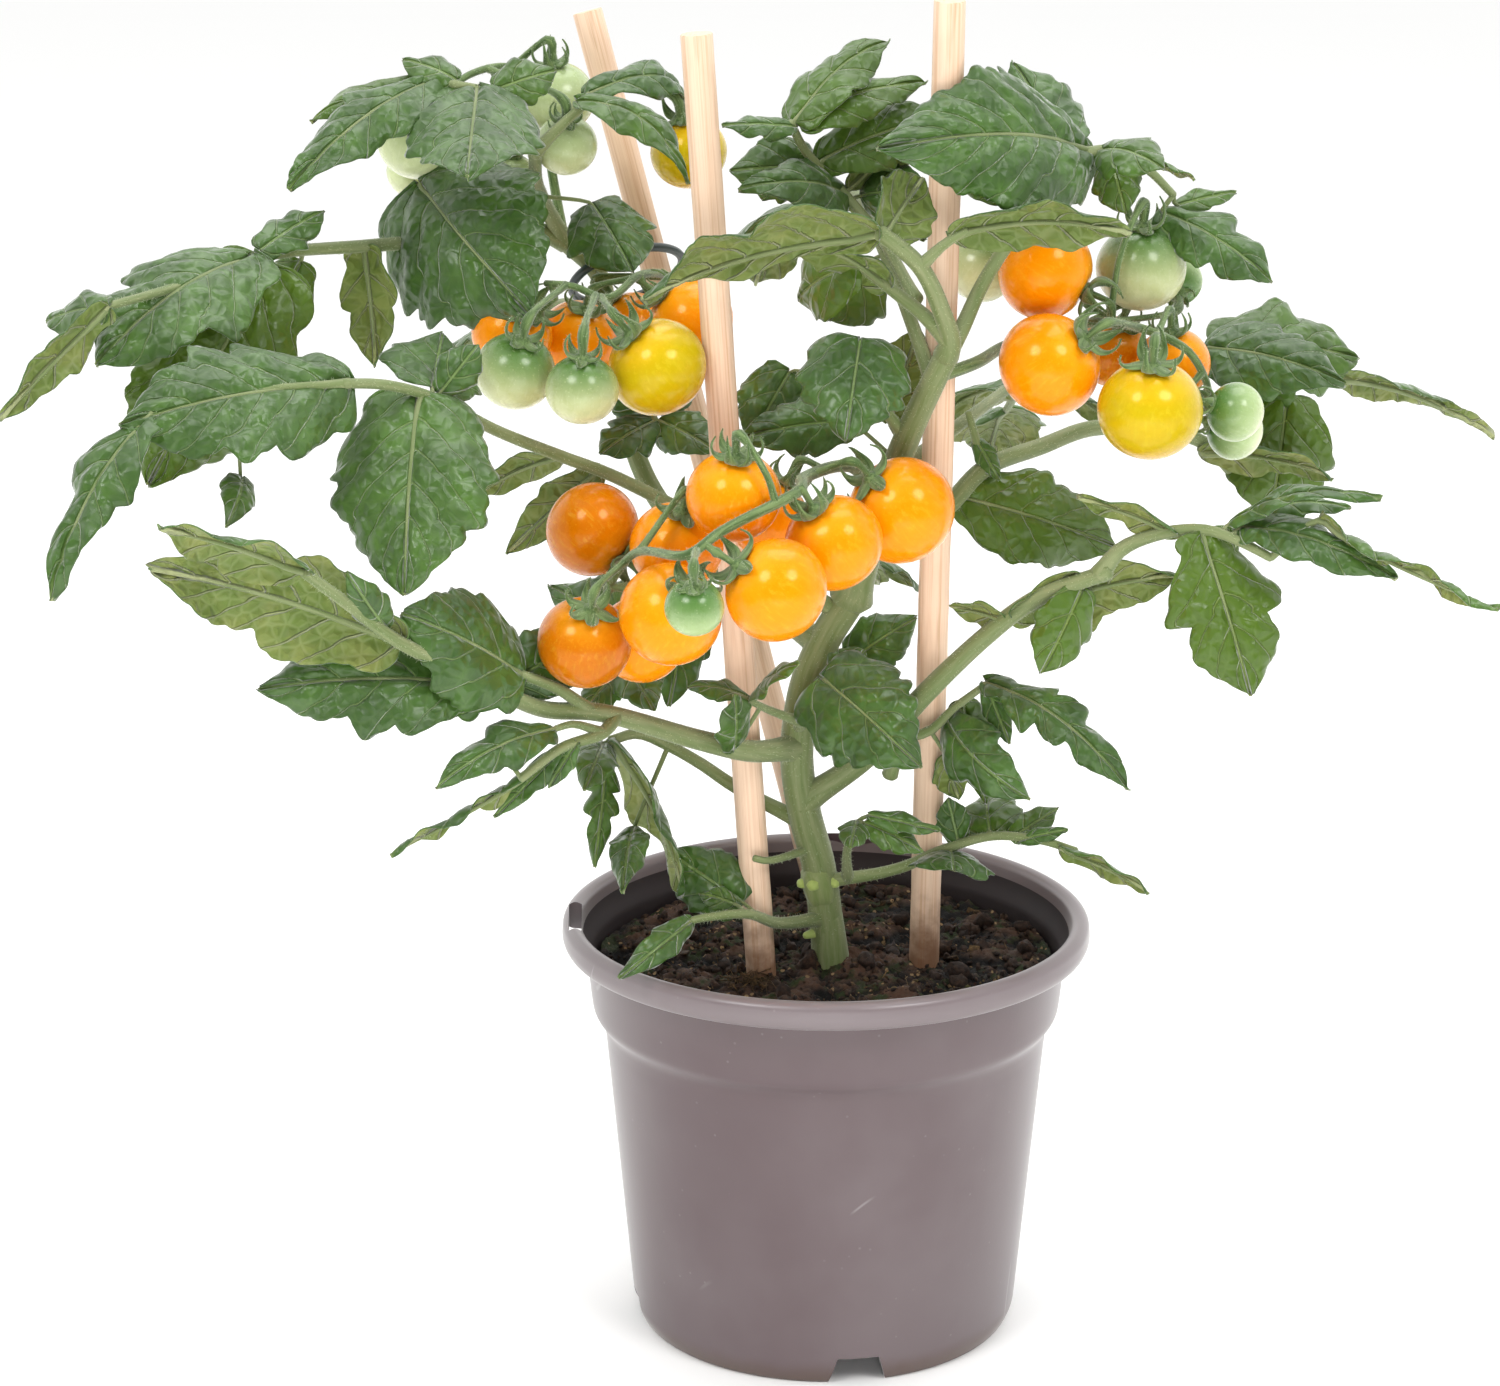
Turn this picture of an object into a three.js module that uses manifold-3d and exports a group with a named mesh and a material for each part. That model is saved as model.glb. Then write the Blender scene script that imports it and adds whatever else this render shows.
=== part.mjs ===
// A cherry tomato plant in its nursery pot: thermoformed pot, potting soil, three bamboo stakes with a ring
// clip, one grown stem, four trusses of fruit and the compound leaves. Millimetres, +Z up. The origin is on
// the pot's axis at the level of its foot, and -Y is the front.
import * as THREE from "three";
import { mergeVertices } from "three/addons/utils/BufferGeometryUtils.js";
import Module from "manifold-3d";

const wasm = await Module();
wasm.setup();

const GAP = 0.3; // air between pieces that touch on the real plant
const POT_SIDES = 28;
const POT_HEIGHT = 112.5;
const LIP_RADIUS = 70;
const FLOOR_HEIGHT = 9.3; // upper face of the raised floor
const SOIL_LEVEL = 99;
const SOIL_ROUGHNESS = 1.6;
const SOIL_SMOOTH_RIM = 59; // beyond this radius the soil stays level
const FOOT_NOTCH = { count: 4, first: 9, bottom: 19.5, top: 11, height: 7.5, depth: 12, circle: 50 };
const DRAIN_HOLE = { count: 4, radius: 4, circle: 30, depth: 8 };
const HANGER_SLOT = { bearings: [-88, 172], length: 21, width: 3.4, height: 14, circle: 66.4, middle: 108 };
const STAKE_RADIUS = 4;
const STAKE_DEPTH = 32; // how far the stakes reach into the soil
const CLIP = { centre: [-52.8, 53, 273.5], halfLength: 16.5, halfWidth: 12, wire: 1.2, turn: 34, tilt: -45 };
const BLADE_THICKNESS = 0.7;
const PETIOLULE_RADIUS = 0.7; // small stalk between a leaf's main stalk and a blade
const LONGEST_SEAT = 4; // a blade nearer to its stalk than this has no small stalk of its own
const SMALL_BLADE = 29; // shorter blades are flat and have no teeth
const TINY_BLADE = 20;
const CALYX = { reach: 0.82, waist: 0.24, lift: 2.6, thickness: 0.9, sepals: 5 };
const FRUIT_FLATNESS = 0.94;
const FRUIT_STALK = { radius: 1.2, knuckle: 6, room: 3.5 }; // the knuckle stands this far off the fruit
const TUBE_STEP = 17; // length of one straight stretch of a stem

// Outer wall from the foot up over the rolled lip, then the inner wall down to the floor: [radius, height]
const POT_PROFILE = [
  [0, 7.8], [47.4, 7.8], [48, 0], [49.8, 0], [51.5, 3.5], [58.6, 80.5], [59.3, 84], [61.9, 89.5], [63.6, 104],
  [68.4, 106], [LIP_RADIUS, 107.7], [69.4, 110.6], [67, POT_HEIGHT], [65.2, 111], [62.1, 104], [60.6, 89.5],
  [57.8, 84], [57.1, 80.5], [50.2, FLOOR_HEIGHT], [0, FLOOR_HEIGHT],
];
const SOIL_PROFILE = [
  [0, 9.8], [49.4, 9.8], [56.3, 80.5], [57, 84], [59.7, 89.5], [60.9, SOIL_LEVEL], [46, SOIL_LEVEL],
  [25, SOIL_LEVEL], [0, SOIL_LEVEL],
];

// Where each stake meets the soil and where it ends
const STAKES = {
  stake_left: [[-17, -16, SOIL_LEVEL], [-33, -28, 346]],
  stake_right: [[26, -4, SOIL_LEVEL], [28, -28, 354]],
  stake_back: [[0, 48, SOIL_LEVEL], [-63, 62, 342]],
};

// Grown wood: first and last radius, then the points that each stem passes through
const STEMS = {
  main: {
    radii: [4.6, 4.2],
    route: [[2, -4, 70], [1, -5, 99], [-2, -8, 127], [-6, -12, 144], [-8, -15, 160], [-6, -12, 177],
      [-1, -8, 189], [6, -6, 200]],
  },
  upper: { radii: [4.2, 3.0], route: [[6, -6, 200], [12, -14, 222], [19, -25, 246], [28, -32, 268]] },
  left: {
    radii: [3.0, 2.4],
    route: [[-2, -8, 188], [-17, 6, 196], [-36, 24, 208], [-49, 38, 224], [-57, 46, 257], [-60, 48, 274],
      [-69, 44, 284]],
  },
  low_shoot: { radii: [1.1, 0.9], route: [[-4, -10, 133], [-16, -25, 135], [-19, -26, 136]] },
};
// The main stalk of each truss
const TRUSSES = {
  truss_left: {
    radii: [1.6, 1.0],
    route: [[-56, 45, 251], [-41, 27, 275], [-48, -2, 283], [-56, -18, 280], [-64, -18, 283],
      [-71, -14, 283]],
  },
  truss_front: {
    radii: [2.0, 1.1],
    route: [[13, -15, 224], [6, -28, 239], [-7, -52, 242], [-9, -72, 243], [-27, -87, 237], [-34, -92, 233],
      [-48, -68, 227], [-55, -60, 216]],
  },
  truss_right: {
    radii: [2.0, 1.1],
    route: [[27, -30, 262], [36, -20, 264], [46, 0, 265], [59, 4, 268], [68, -8, 272], [79, -19, 272],
      [89, -20, 267], [94, -17, 259], [95, -14, 256]],
  },
  truss_top: {
    radii: [1.6, 1.0],
    route: [[-70, 43, 286], [-72, 50, 299], [-74, 50, 313], [-76, 44, 326], [-83, 34, 331], [-92, 24, 330],
      [-99, 18, 325]],
  },
};
// Fruits of each truss: centre, radius, [bearing, rise] of the stalk end and ripeness. A bearing of 0
// looks to the front and 90 to the right.
const FRUITS = {
  truss_left: [
    [[-80, -8, 269], 10.5, [60, 40], "orange"],
    [[-78, -30, 264], 10, [30, 62], "green"],
    [[-61, -43, 262], 9, [10, 75], "green"],
    [[-43, -30, 265], 12.4, [-60, 50], "yellow"],
    [[-64, 6, 265], 10.5, [30, 60], "orange"],
    [[-51, 23, 264], 10.5, [-80, 55], "orange"],
    [[-35, 0, 271], 11, [-80, 40], "orange"],
  ],
  truss_front: [
    [[-59, -39, 226], 12, [60, -35], "amber"],
    [[-38, -53, 225], 11.5, [20, 65], "orange"],
    [[-24, -67, 241], 11.5, [10, 70], "orange"],
    [[-16, -38, 229], 10.5, [90, 60], "orange"],
    [[0, -65, 229], 12, [-50, 55], "orange"],
    [[17, -44, 232], 13.5, [-60, 45], "orange"],
    [[-14, -87, 223], 12.5, [-70, 35], "orange"],
    [[-39, -79, 215], 12.5, [30, 40], "orange"],
    [[-47, -47, 200], 11, [20, 50], "orange"],
    [[-60, -68, 205], 11.5, [20, 60], "amber"],
    [[-33, -103, 223], 7, [0, 60], "green"],
  ],
  truss_right: [
    [[54, -7, 285], 12.5, [75, -25], "orange"],
    [[54, -27, 265], 13, [60, 38], "orange"],
    [[78, -38, 256], 13, [0, 72], "yellow"],
    [[73, 11, 261], 9.5, [20, 60], "amber"],
    [[87, -5, 261], 9.5, [-20, 70], "orange"],
    [[101, -22, 252], 7.5, [-80, 20], "green"],
    [[103, -7, 244], 7.5, [-90, 20], "green"],
    [[79, 3, 284], 11.5, [0, 80], "green"],
    [[90, 18, 278], 6.5, [-5, -25], "green"],
    [[39, 15, 282], 9.3, [90, 60], "green"],
  ],
  truss_top: [
    [[-105, 18, 314], 10.2, [40, 70], "pale"],
    [[-82, 28, 303], 7, [30, 75], "pale"],
    [[-70, 34, 323], 9.8, [-20, 75], "pale"],
    [[-67, 18, 313], 8, [0, 60], "pale"],
    [[-36, 34, 309], 10, [-40, 70], "yellow"],
    [[-107, 33, 304], 7.5, [60, 70], "pale"],
  ],
};
// Leaves. Stalks: first and last radius, route. Blades: base, tip, [bearing, rise] that the upper face
// looks to, width over length, outline, and how far the rib arches up over its length.
const LEAVES = {
  low_left: {
    stalks: [
      [3.0, 1.3, [[-9, -21, 163], [-20, -30, 166], [-33, -40, 172], [-57, -60, 185], [-71, -70, 189],
        [-87, -82, 201], [-102, -94, 212], [-113, -104, 224], [-122, -110, 233]]],
      [1.6, 1.2, [[-59, -62, 186], [-66, -68, 193], [-75, -72, 198]]],
      [1.6, 1.1, [[-53, -58, 182], [-56, -64, 181], [-66, -74, 180], [-75, -82, 175]]],
      [1.1, 0.8, [[-56, -64, 181], [-63, -70, 185], [-67, -74, 185]]],
    ],
    blades: [
      [[-122, -110, 233], [-151, -134, 249], [177, 43], 0.46, "lobed", 0.04],
      [[-102, -91, 211], [-157, -111, 234], [174, 4], 0.46, "lobed", 0.08],
      [[-84, -78, 197], [-136, -92, 200], [0, 40], 0.56, "quad", 0.1],
      [[-75, -72, 198], [-102, -90, 218], [0, 40], 0.85, "broad", 0.08],
      [[-77, -69, 196], [-60, -53, 202], [3, 21], 0.8, "broad", 0.07],
      [[-105, -96, 216], [-113, -105, 232], [3, 13], 0.5, "plain", 0.15],
      [[-73, -76, 175], [-106, -94, 160], [165, 54], 0.26, "narrow", -0.01],
      [[-66, -74, 180], [-82, -78, 164], [-4, 38], 0.3, "plain", -0.03],
      [[-62, -72, 181], [-69, -74, 170], [0, 30], 0.45, "plain", 0.05],
      [[-67, -74, 185], [-95, -90, 175], [0, 45], 0.42, "lobed", 0.16],
      [[-82, -81, 184], [-92, -84, 174], [1, 30], 0.3, "narrow", 0.02],
    ],
  },
  hanging: {
    stalks: [
      [2.0, 1.3, [[-11, -11, 139], [-24, -6, 149], [-33, -5, 155], [-41, -6, 160], [-49, -8, 164],
        [-56, -14, 164]]],
    ],
    blades: [
      [[-56, -13, 164], [-37, -25, 125], [113, 11], 0.52, "lobed", 0.07],
      [[-57, -14, 162], [-60, -30, 135], [9, 9], 0.32, "narrow", 0.08],
      [[-58, -13, 163], [-62, -38, 158], [-1, 10], 0.5, "plain", 0.13],
      [[-50, -17, 142], [-52, -48, 134], [-4, 10], 0.35, "plain", 0.11],
    ],
  },
  over_soil: {
    stalks: [
      [1.9, 1.0, [[-4, -10, 112], [-13, -22, 117], [-21, -32, 123], [-32, -38, 124], [-35, -40, 124]]],
    ],
    blades: [
      [[-35, -40, 124], [-53, -58, 115], [20, 30], 0.34, "plain", 0.12],
      [[-22, -23, 123], [-42, -14, 134], [4, 22], 0.8, "broad", 0.07],
      [[-24, -27, 124], [-33, -22, 125], [21, 24], 0.7, "plain", 0.12],
    ],
  },
  mid_left: {
    stalks: [
      [2.0, 1.2, [[4, -7, 195], [-21, -9, 214], [-53, -18, 234], [-67, -28, 242], [-82, -44, 252],
        [-96, -62, 264], [-106, -72, 269], [-115, -80, 271]]],
      [1.0, 0.8, [[-114, -79, 270], [-138, -90, 271], [-157, -99, 268]]],
    ],
    blades: [
      [[-114, -76, 270], [-164, -103, 266], [-8, 40], 0.68, "quad", 0.07],
      [[-157, -99, 268], [-178, -124, 230], [-25, 35], 0.36, "lobed", 0.12],
      [[-99, -64, 265], [-101, -92, 223], [-5, 25], 0.84, "broad", 0.08],
      [[-96, -60, 266], [-95, -39, 275], [17, 23], 1.2, "plain", -0.01],
      [[-94, -61, 265], [-85, -58, 276], [22, 29], 0.8, "plain", 0.09],
      [[-139, -86, 250], [-140, -107, 243], [155, 42], 0.45, "plain", 0.15],
      [[-58, -20, 237], [-82, -16, 214], [150, 20], 0.4, "plain", 0.1],
      [[-67, -28, 242], [-91, -20, 229], [170, 30], 0.35, "plain", 0.1],
    ],
  },
  far_left: {
    stalks: [
      [2.2, 1.0, [[-70, 43, 286], [-79, 36, 289], [-100, 16, 289], [-117, -6, 291], [-133, -26, 293],
        [-141, -38, 293], [-156, -58, 290], [-169, -78, 289]]],
    ],
    blades: [
      [[-141, -40, 294], [-173, -78, 275], [-15, 45], 0.74, "lobed", 0.1],
      [[-169, -79, 289], [-192, -98, 266], [174, 36], 0.34, "lobed", 0.03],
      [[-169, -79, 289], [-186, -67, 283], [-14, 42], 0.6, "plain", 0.08],
      [[-137, -36, 291], [-166, -54, 241], [5, 10], 0.74, "lobed", 0.06],
      [[-139, -36, 295], [-125, -20, 302], [20, 50], 0.6, "lobed", 0.06],
      [[-117, -6, 291], [-114, -15, 262], [170, 10], 0.55, "lobed", 0.06],
      [[-131, -22, 290], [-143, -10, 267], [10, 20], 0.6, "plain", 0.1],
    ],
  },
  top_left: {
    stalks: [
      [2.2, 1.2, [[-71, 43, 288], [-73, 35, 294], [-75, 21, 303], [-75, 9, 313], [-79, 4, 322], [-84, 0, 328],
        [-94, -3, 331]]],
      [1.5, 1.1, [[-75, 10, 312], [-68, 9, 319], [-61, 11, 325]]],
    ],
    blades: [
      [[-88, -2, 330], [-88, -43, 314], [5, 42], 0.84, "broad", 0.02],
      [[-97, 2, 332], [-132, -32, 309], [-20, 42], 0.42, "lobed", 0.1],
      [[-98, 6, 331], [-129, -10, 323], [-24, 60], 0.4, "plain", 0.08],
      [[-93, -2, 332], [-107, 5, 336], [20, 38], 0.7, "plain", 0.08],
      [[-84, 1, 329], [-69, 8, 333], [20, 30], 0.8, "plain", 0.08],
      [[-64, 10, 325], [-35, -1, 306], [48, 22], 0.4, "plain", 0.23],
      [[-62, 14, 326], [-36, 44, 317], [44, 55], 0.34, "plain", 0.25],
      [[-104, 12, 304], [-74, -21, 276], [-12, 15], 0.98, "broad", 0.1],
      [[-61, 26, 297], [-50, 8, 282], [10, 30], 1.0, "lobed", 0.06],
    ],
  },
  low_right: {
    stalks: [
      [1.7, 1.0, [[0, -8, 123], [4, -10, 125], [11, -10, 126], [20, -12, 129], [30, -16, 135],
        [42, -20, 140], [54, -26, 141], [63, -32, 140]]],
      [1.3, 0.9, [[5, -12, 126], [5, -20, 136], [7, -30, 147]]],
    ],
    blades: [
      [[59, -30, 140], [81, -42, 132], [165, 45], 0.42, "lobed", 0.05],
      [[32, -17, 135], [32, -30, 134], [5, 35], 1.8, "plain", 0.06],
      [[34, -17, 137], [31, -16, 149], [-3, 22], 0.8, "plain", 0.04],
      [[42, -19, 140], [42, -1, 145], [-10, 26], 1, "plain", 0.12],
      [[47, -22, 140], [60, -12, 145], [0, 30], 0.5, "plain", 0.05],
      [[49, -24, 140], [61, -30, 145], [0, 40], 0.35, "plain", 0.05],
      [[7, -31, 148], [5, -45, 145], [4, 35], 0.6, "plain", 0.06],
      [[9, -33, 148], [24, -36, 141], [7, 49], 0.62, "lobed", 0.05],
      [[10, -33, 150], [28, -37, 147], [2, 45], 0.36, "plain", 0.02],
    ],
  },
  narrow_right: {
    stalks: [
      [1.6, 0.9, [[16, -15, 155], [18, -16, 161], [21, -18, 166], [26, -19, 168], [32, -19, 174],
        [40, -21, 181]]],
    ],
    blades: [
      [[40, -20, 181], [75, -40, 159], [6, 43], 0.36, "narrow", 0.2],
      [[40, -21, 181], [46, -27, 167], [2, 24], 0.45, "plain", -0.01],
      [[34, -18, 176], [41, -10, 146], [-10, 8], 0.45, "plain", 0.02],
      [[30, -16, 171], [51, -33, 154], [-34, 16], 0.6, "lobed", 0.23],
      [[30, -16, 161], [34, -14, 148], [193, 3], 0.8, "plain", 0.13],
    ],
  },
  mid_right: {
    stalks: [
      [3.2, 2.0, [[-2, -12, 148], [10, -21, 162], [24, -27, 180], [39, -33, 197], [51, -38, 208],
        [68, -46, 217]]],
      [1.9, 1.1, [[66, -45, 216], [71, -44, 222], [80, -48, 227], [91, -52, 229], [99, -56, 227],
        [106, -60, 224]]],
    ],
    blades: [
      [[45, -36, 203], [86, -42, 215], [175, 31], 0.5, "lobed", 0.07],
      [[44, -36, 202], [30, -30, 204], [170, 35], 0.7, "plain", 0.05],
      [[62, -43, 212], [52, -46, 191], [10, 10], 0.7, "plain", 0.05],
      [[85, -50, 227], [60, -44, 235], [175, 40], 0.36, "plain", 0.05],
      [[90, -52, 228], [102, -62, 190], [5, 12], 0.74, "twin", 0.06],
      [[99, -53, 230], [134, -74, 222], [2, 54], 0.4, "lobed", 0.11],
      [[106, -47, 233], [126, -51, 234], [-10, 62], 0.5, "lobed", 0.11],
      [[117, -62, 234], [154, -100, 222], [168, 51], 0.18, "narrow", -0.02],
      [[96, -52, 230], [131, -66, 240], [15, 70], 0.25, "plain", 0.14],
    ],
  },
  high_right: {
    stalks: [
      [2.6, 1.8, [[10, -10, 212], [20, -7, 218], [30, -3, 223], [40, 6, 231], [56, 20, 234], [72, 34, 236],
        [101, 50, 229], [112, 56, 218]]],
      [1.6, 1.0, [[87, 42, 234], [95, 48, 241], [101, 54, 248], [107, 58, 252], [132, 64, 245]]],
      [1.3, 0.9, [[41, 6, 231], [38, 7, 239], [36, 6, 246]]],
    ],
    blades: [
      [[33, 2, 225], [75, 8, 210], [1, 26], 0.6, "plain", 0.09],
      [[101, 48, 226], [136, 40, 221], [175, 40], 0.4, "plain", 0.08],
      [[111, 56, 220], [128, 74, 237], [0, 20], 0.9, "broad", 0.05],
      [[125, 57, 240], [121, 50, 207], [0, 12], 0.95, "plain", 0.05],
      [[102, 57, 253], [138, 37, 247], [4, 39], 0.62, "broad", 0.11],
      [[105, 61, 252], [146, 72, 247], [-5, 38], 0.8, "lobed", 0.12],
      [[132, 64, 243], [190, 100, 219], [170, 45], 0.14, "plain", 0.08],
      [[38, 7, 239], [44, 2, 229], [0, 20], 0.5, "plain", 0.05],
    ],
  },
  top_right: {
    stalks: [
      [2.1, 1.3, [[28, -31, 265], [32, -28, 274], [36, -24, 282], [40, -26, 290], [47, -24, 300],
        [54, -14, 308], [63, -12, 315]]],
      [1.4, 1.0, [[63, -12, 315], [70, -6, 315], [80, 2, 309], [87, 6, 302]]],
    ],
    blades: [
      [[64, -9, 315], [10, -47, 321], [24, 30], 0.62, "broad", 0.16],
      [[58, -11, 318], [46, 8, 335], [6, 43], 0.8, "broad", 0.01],
      [[66, -8, 315], [81, -26, 313], [0, 45], 0.75, "plain", 0.14],
      [[78, 0, 312], [90, -14, 309], [170, 50], 0.4, "plain", 0.05],
      [[70, 0, 313], [74, -4, 299], [0, 10], 0.9, "plain", 0.05],
      [[84, 4, 298], [111, -7, 282], [8, 45], 0.62, "lobed", 0.1],
      [[88, 8, 299], [104, 16, 301], [0, 40], 0.4, "plain", 0.05],
      [[58, 6, 310], [34, 20, 301], [0, 20], 0.6, "lobed", 0.05],
    ],
  },
  centre_top: {
    stalks: [
      [2.4, 2.0, [[29, -33, 269], [29, -34, 272], [27, -37, 279], [21, -42, 292], [11, -46, 301]]],
      [1.9, 1.3, [[29, -34, 272], [22, -34, 279], [14, -32, 285], [6, -30, 291]]],
      [1.4, 1.0, [[21, -42, 292], [27, -44, 298], [32, -44, 301]]],
    ],
    blades: [
      [[11, -46, 300], [-46, -54, 286], [175, 38], 0.64, "sickle", 0.08],
      [[12, -46, 300], [22, -32, 312], [178, 15], 0.95, "plain", 0.05],
      [[28, -44, 300], [71, -50, 301], [180, 42], 0.44, "plain", 0.1],
      [[14, -32, 285], [-15, -44, 298], [163, 51], 0.5, "plain", 0.13],
      [[6, -30, 291], [-8, -10, 278], [0, 30], 0.8, "plain", 0.1],
    ],
  },
  crown: {
    stalks: [
      [1.5, 1.1, [[21, -20, 280], [13, 0, 292], [2, 9, 304], [-6, 6, 313], [-10, 1, 321]]],
    ],
    blades: [
      [[-9, 2, 321], [15, 20, 339], [-35, 38], 0.56, "broad", 0.12],
      [[-8, 3, 321], [24, 13, 329], [0, 50], 0.5, "broad", 0.12],
      [[-9, 0, 320], [-27, -6, 321], [0, 50], 0.5, "lobed", 0.05],
      [[-3, 9, 310], [30, 12, 321], [5, 35], 0.56, "plain", 0.12],
      [[5, 10, 303], [28, 2, 318], [170, 55], 0.45, "plain", 0.12],
      [[5, 11, 301], [-23, -11, 306], [-1, 38], 0.5, "broad", 0.14],
      [[8, 12, 301], [25, 4, 304], [0, 20], 0.9, "plain", 0.1],
      [[-4, 9, 309], [-25, 7, 308], [-7, 20], 0.9, "broad", 0.07],
    ],
  },
  centre_inner: {
    stalks: [
      [1.5, 0.8, [[-7, -13, 167], [-7, -21, 171], [-4, -24, 178], [0, -26, 181]]],
      [1.2, 0.8, [[-7, -21, 171], [-15, -31, 177], [-20, -40, 182], [-24, -42, 184]]],
    ],
    blades: [
      [[-2, -25, 184], [23, -41, 165], [0, 23], 0.9, "heart", 0.12],
      [[1, -24, 180], [9, -17, 189], [11, 25], 1, "plain", 0.13],
      [[6, -5, 183], [23, 0, 193], [1, 26], 0.8, "broad", 0.15],
      [[-20, -38, 182], [-8, -52, 195], [0, 60], 0.5, "plain", 0.08],
      [[-20, -37, 182], [-36, -34, 184], [16, 65], 0.55, "plain", 0.11],
      [[-24, -38, 169], [-24, -51, 187], [20, 30], 0.55, "plain", 0.04],
    ],
  },
};

// Small leaves that are one piece with the stem
const STEM_LEAVES = {
  centre_low: {
    stalks: [
      [1.5, 1.0, [[19, -25, 246], [12, -28, 256], [7, -34, 271]]],
    ],
    blades: [
      [[7, -34, 273], [3, -52, 251], [0, 30], 1.05, "heart", 0.08],
      [[5, -10, 247], [-23, -18, 244], [-1, 38], 0.6, "broad", 0.09],
      [[10, 0, 286], [0, 0, 271], [0, 10], 1.3, "plain", 0.05],
      [[15, -10, 247], [23, 0, 269], [170, 15], 0.7, "plain", 0.05],
      [[-10, 0, 258], [-20, -6, 241], [0, 30], 1, "broad", 0.05],
    ],
  },
  inner_left: {
    stalks: [
      [1.5, 1.0, [[-56, 46, 256], [-49, 36, 246], [-45, 24, 240]]],
    ],
    blades: [
      [[-46, 29, 243], [-57, 22, 249], [-21, 14], 1, "broad", 0.09],
      [[-45, 24, 240], [-59, 11, 234], [-5, 42], 0.8, "lobed", 0.07],
      [[-44, 25, 240], [-29, 14, 234], [10, 31], 0.8, "broad", 0.08],
      [[-46, 26, 245], [-33, 30, 250], [10, 20], 0.9, "broad", 0.05],
    ],
  },
  inner_low: {
    stalks: [
      [1.5, 1.0, [[-15, 4, 195], [-33, 2, 197], [-48, -10, 192], [-54, -24, 186]]],
    ],
    blades: [
      [[-48, -10, 192], [-72, 6, 200], [-10, 25], 0.7, "broad", 0.08],
      [[-54, -24, 185], [-62, -34, 178], [0, 35], 0.8, "broad", 0.08],
      [[-52, -22, 186], [-44, -38, 179], [10, 35], 0.7, "broad", 0.08],
      [[-36, 4, 197], [-41, -10, 172], [5, 20], 0.6, "lobed", 0.05],
    ],
  },
};

// Blade outlines: teeth a side, depth of the notches, drop of each half, place of the widest part, and the
// share of the right half that is left of a lopsided blade. A plain blade is a small flat one without teeth.
const OUTLINES = {
  plain: { teeth: 0, depth: 0, fold: 12, widest: 0.42 },
  broad: { teeth: 2, depth: 0.1, fold: 12, widest: 0.36 },
  lobed: { teeth: 2, depth: 0.28, fold: 14, widest: 0.38 },
  quad: { teeth: 3, depth: 0.28, fold: 12, widest: 0.4 },
  twin: { teeth: 2, depth: 0.36, fold: 10, widest: 0.4 },
  narrow: { teeth: 3, depth: 0.45, fold: 12, widest: 0.42 },
  heart: { teeth: 1, depth: 0.06, fold: 12, widest: 0.3 },
  sickle: { teeth: 2, depth: 0.24, fold: 14, widest: 0.4, right: 0.3 },
};
const TEETH_FROM = 0.14;
const TEETH_TO = 0.8;
const TOOTH_PEAK = 0.72; // share of a tooth's length at which it is widest

// Leaves at the back, each grown by rule from a stalk: first and last radius, blade length, route
const BACK_LEAVES = [
  { radii: [1.9, 1.1], size: 46, route: [[-57, 46, 256], [-70, 74, 262], [-84, 96, 252]] },
  { radii: [1.9, 1.1], size: 44, route: [[-14, 5, 195], [-2, 44, 200], [4, 84, 186]] },
  { radii: [1.9, 1.1], size: 44, route: [[16, -20, 236], [40, 20, 244], [54, 60, 244], [52, 96, 228]] },
  { radii: [1.8, 1.0], size: 44, route: [[24, -29, 262], [14, 0, 288], [6, 40, 298], [-8, 84, 280]] },
];

const COLOURS = {
  pot: [0x8a7877, 0.42],
  soil: [0x2a211b, 0.95],
  bamboo: [0xd9b48a, 0.6],
  clip: [0x16302a, 0.35],
  stem: [0x7d9a58, 0.6],
  leaf: [0x3f6b33, 0.55],
  orange: [0xf49a12, 0.28],
  amber: [0xdc7a10, 0.28],
  yellow: [0xf2bd18, 0.28],
  green: [0x84a860, 0.3],
  pale: [0xb5c98c, 0.3],
};

const vector = (point) => new THREE.Vector3(...point);

// Repeatable draws between 0 and 1
function seededDraws(seed) {
  let state = seed;
  return () => {
    state = (Math.imul(state, 1664525) + 1013904223) >>> 0;
    return state / 4294967296;
  };
}

function solidFrom(geometry) {
  const bare = geometry.clone();
  bare.deleteAttribute("normal");
  bare.deleteAttribute("uv");
  const merged = mergeVertices(bare, 1e-4);
  const vertProperties = new Float32Array(merged.attributes.position.array);
  const triVerts = new Uint32Array(merged.index.array);
  return new wasm.Manifold(new wasm.Mesh({ numProp: 3, vertProperties, triVerts }));
}

function geometryFrom(solid) {
  const mesh = solid.getMesh();
  const geometry = new THREE.BufferGeometry();
  geometry.setAttribute("position", new THREE.BufferAttribute(mesh.vertProperties, 3));
  geometry.setIndex(new THREE.BufferAttribute(mesh.triVerts, 1));
  geometry.computeVertexNormals();
  return geometry;
}

function direction([bearing, rise]) {
  const turn = THREE.MathUtils.degToRad(bearing);
  const lift = THREE.MathUtils.degToRad(rise);
  return new THREE.Vector3(
    Math.sin(turn) * Math.cos(lift),
    -Math.cos(turn) * Math.cos(lift),
    Math.sin(lift),
  );
}

// The turn that brings +Z to a direction
function towards(facing) {
  return new THREE.Quaternion().setFromUnitVectors(new THREE.Vector3(0, 0, 1), direction(facing));
}

// The points at which a stem along a smooth route bends
function bends(route, steps = 0) {
  const curve = new THREE.CatmullRomCurve3(route.map(vector));
  const count = steps || Math.max(2, Math.round(curve.getLength() / TUBE_STEP));
  return { curve, points: curve.getSpacedPoints(count), count };
}

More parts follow.
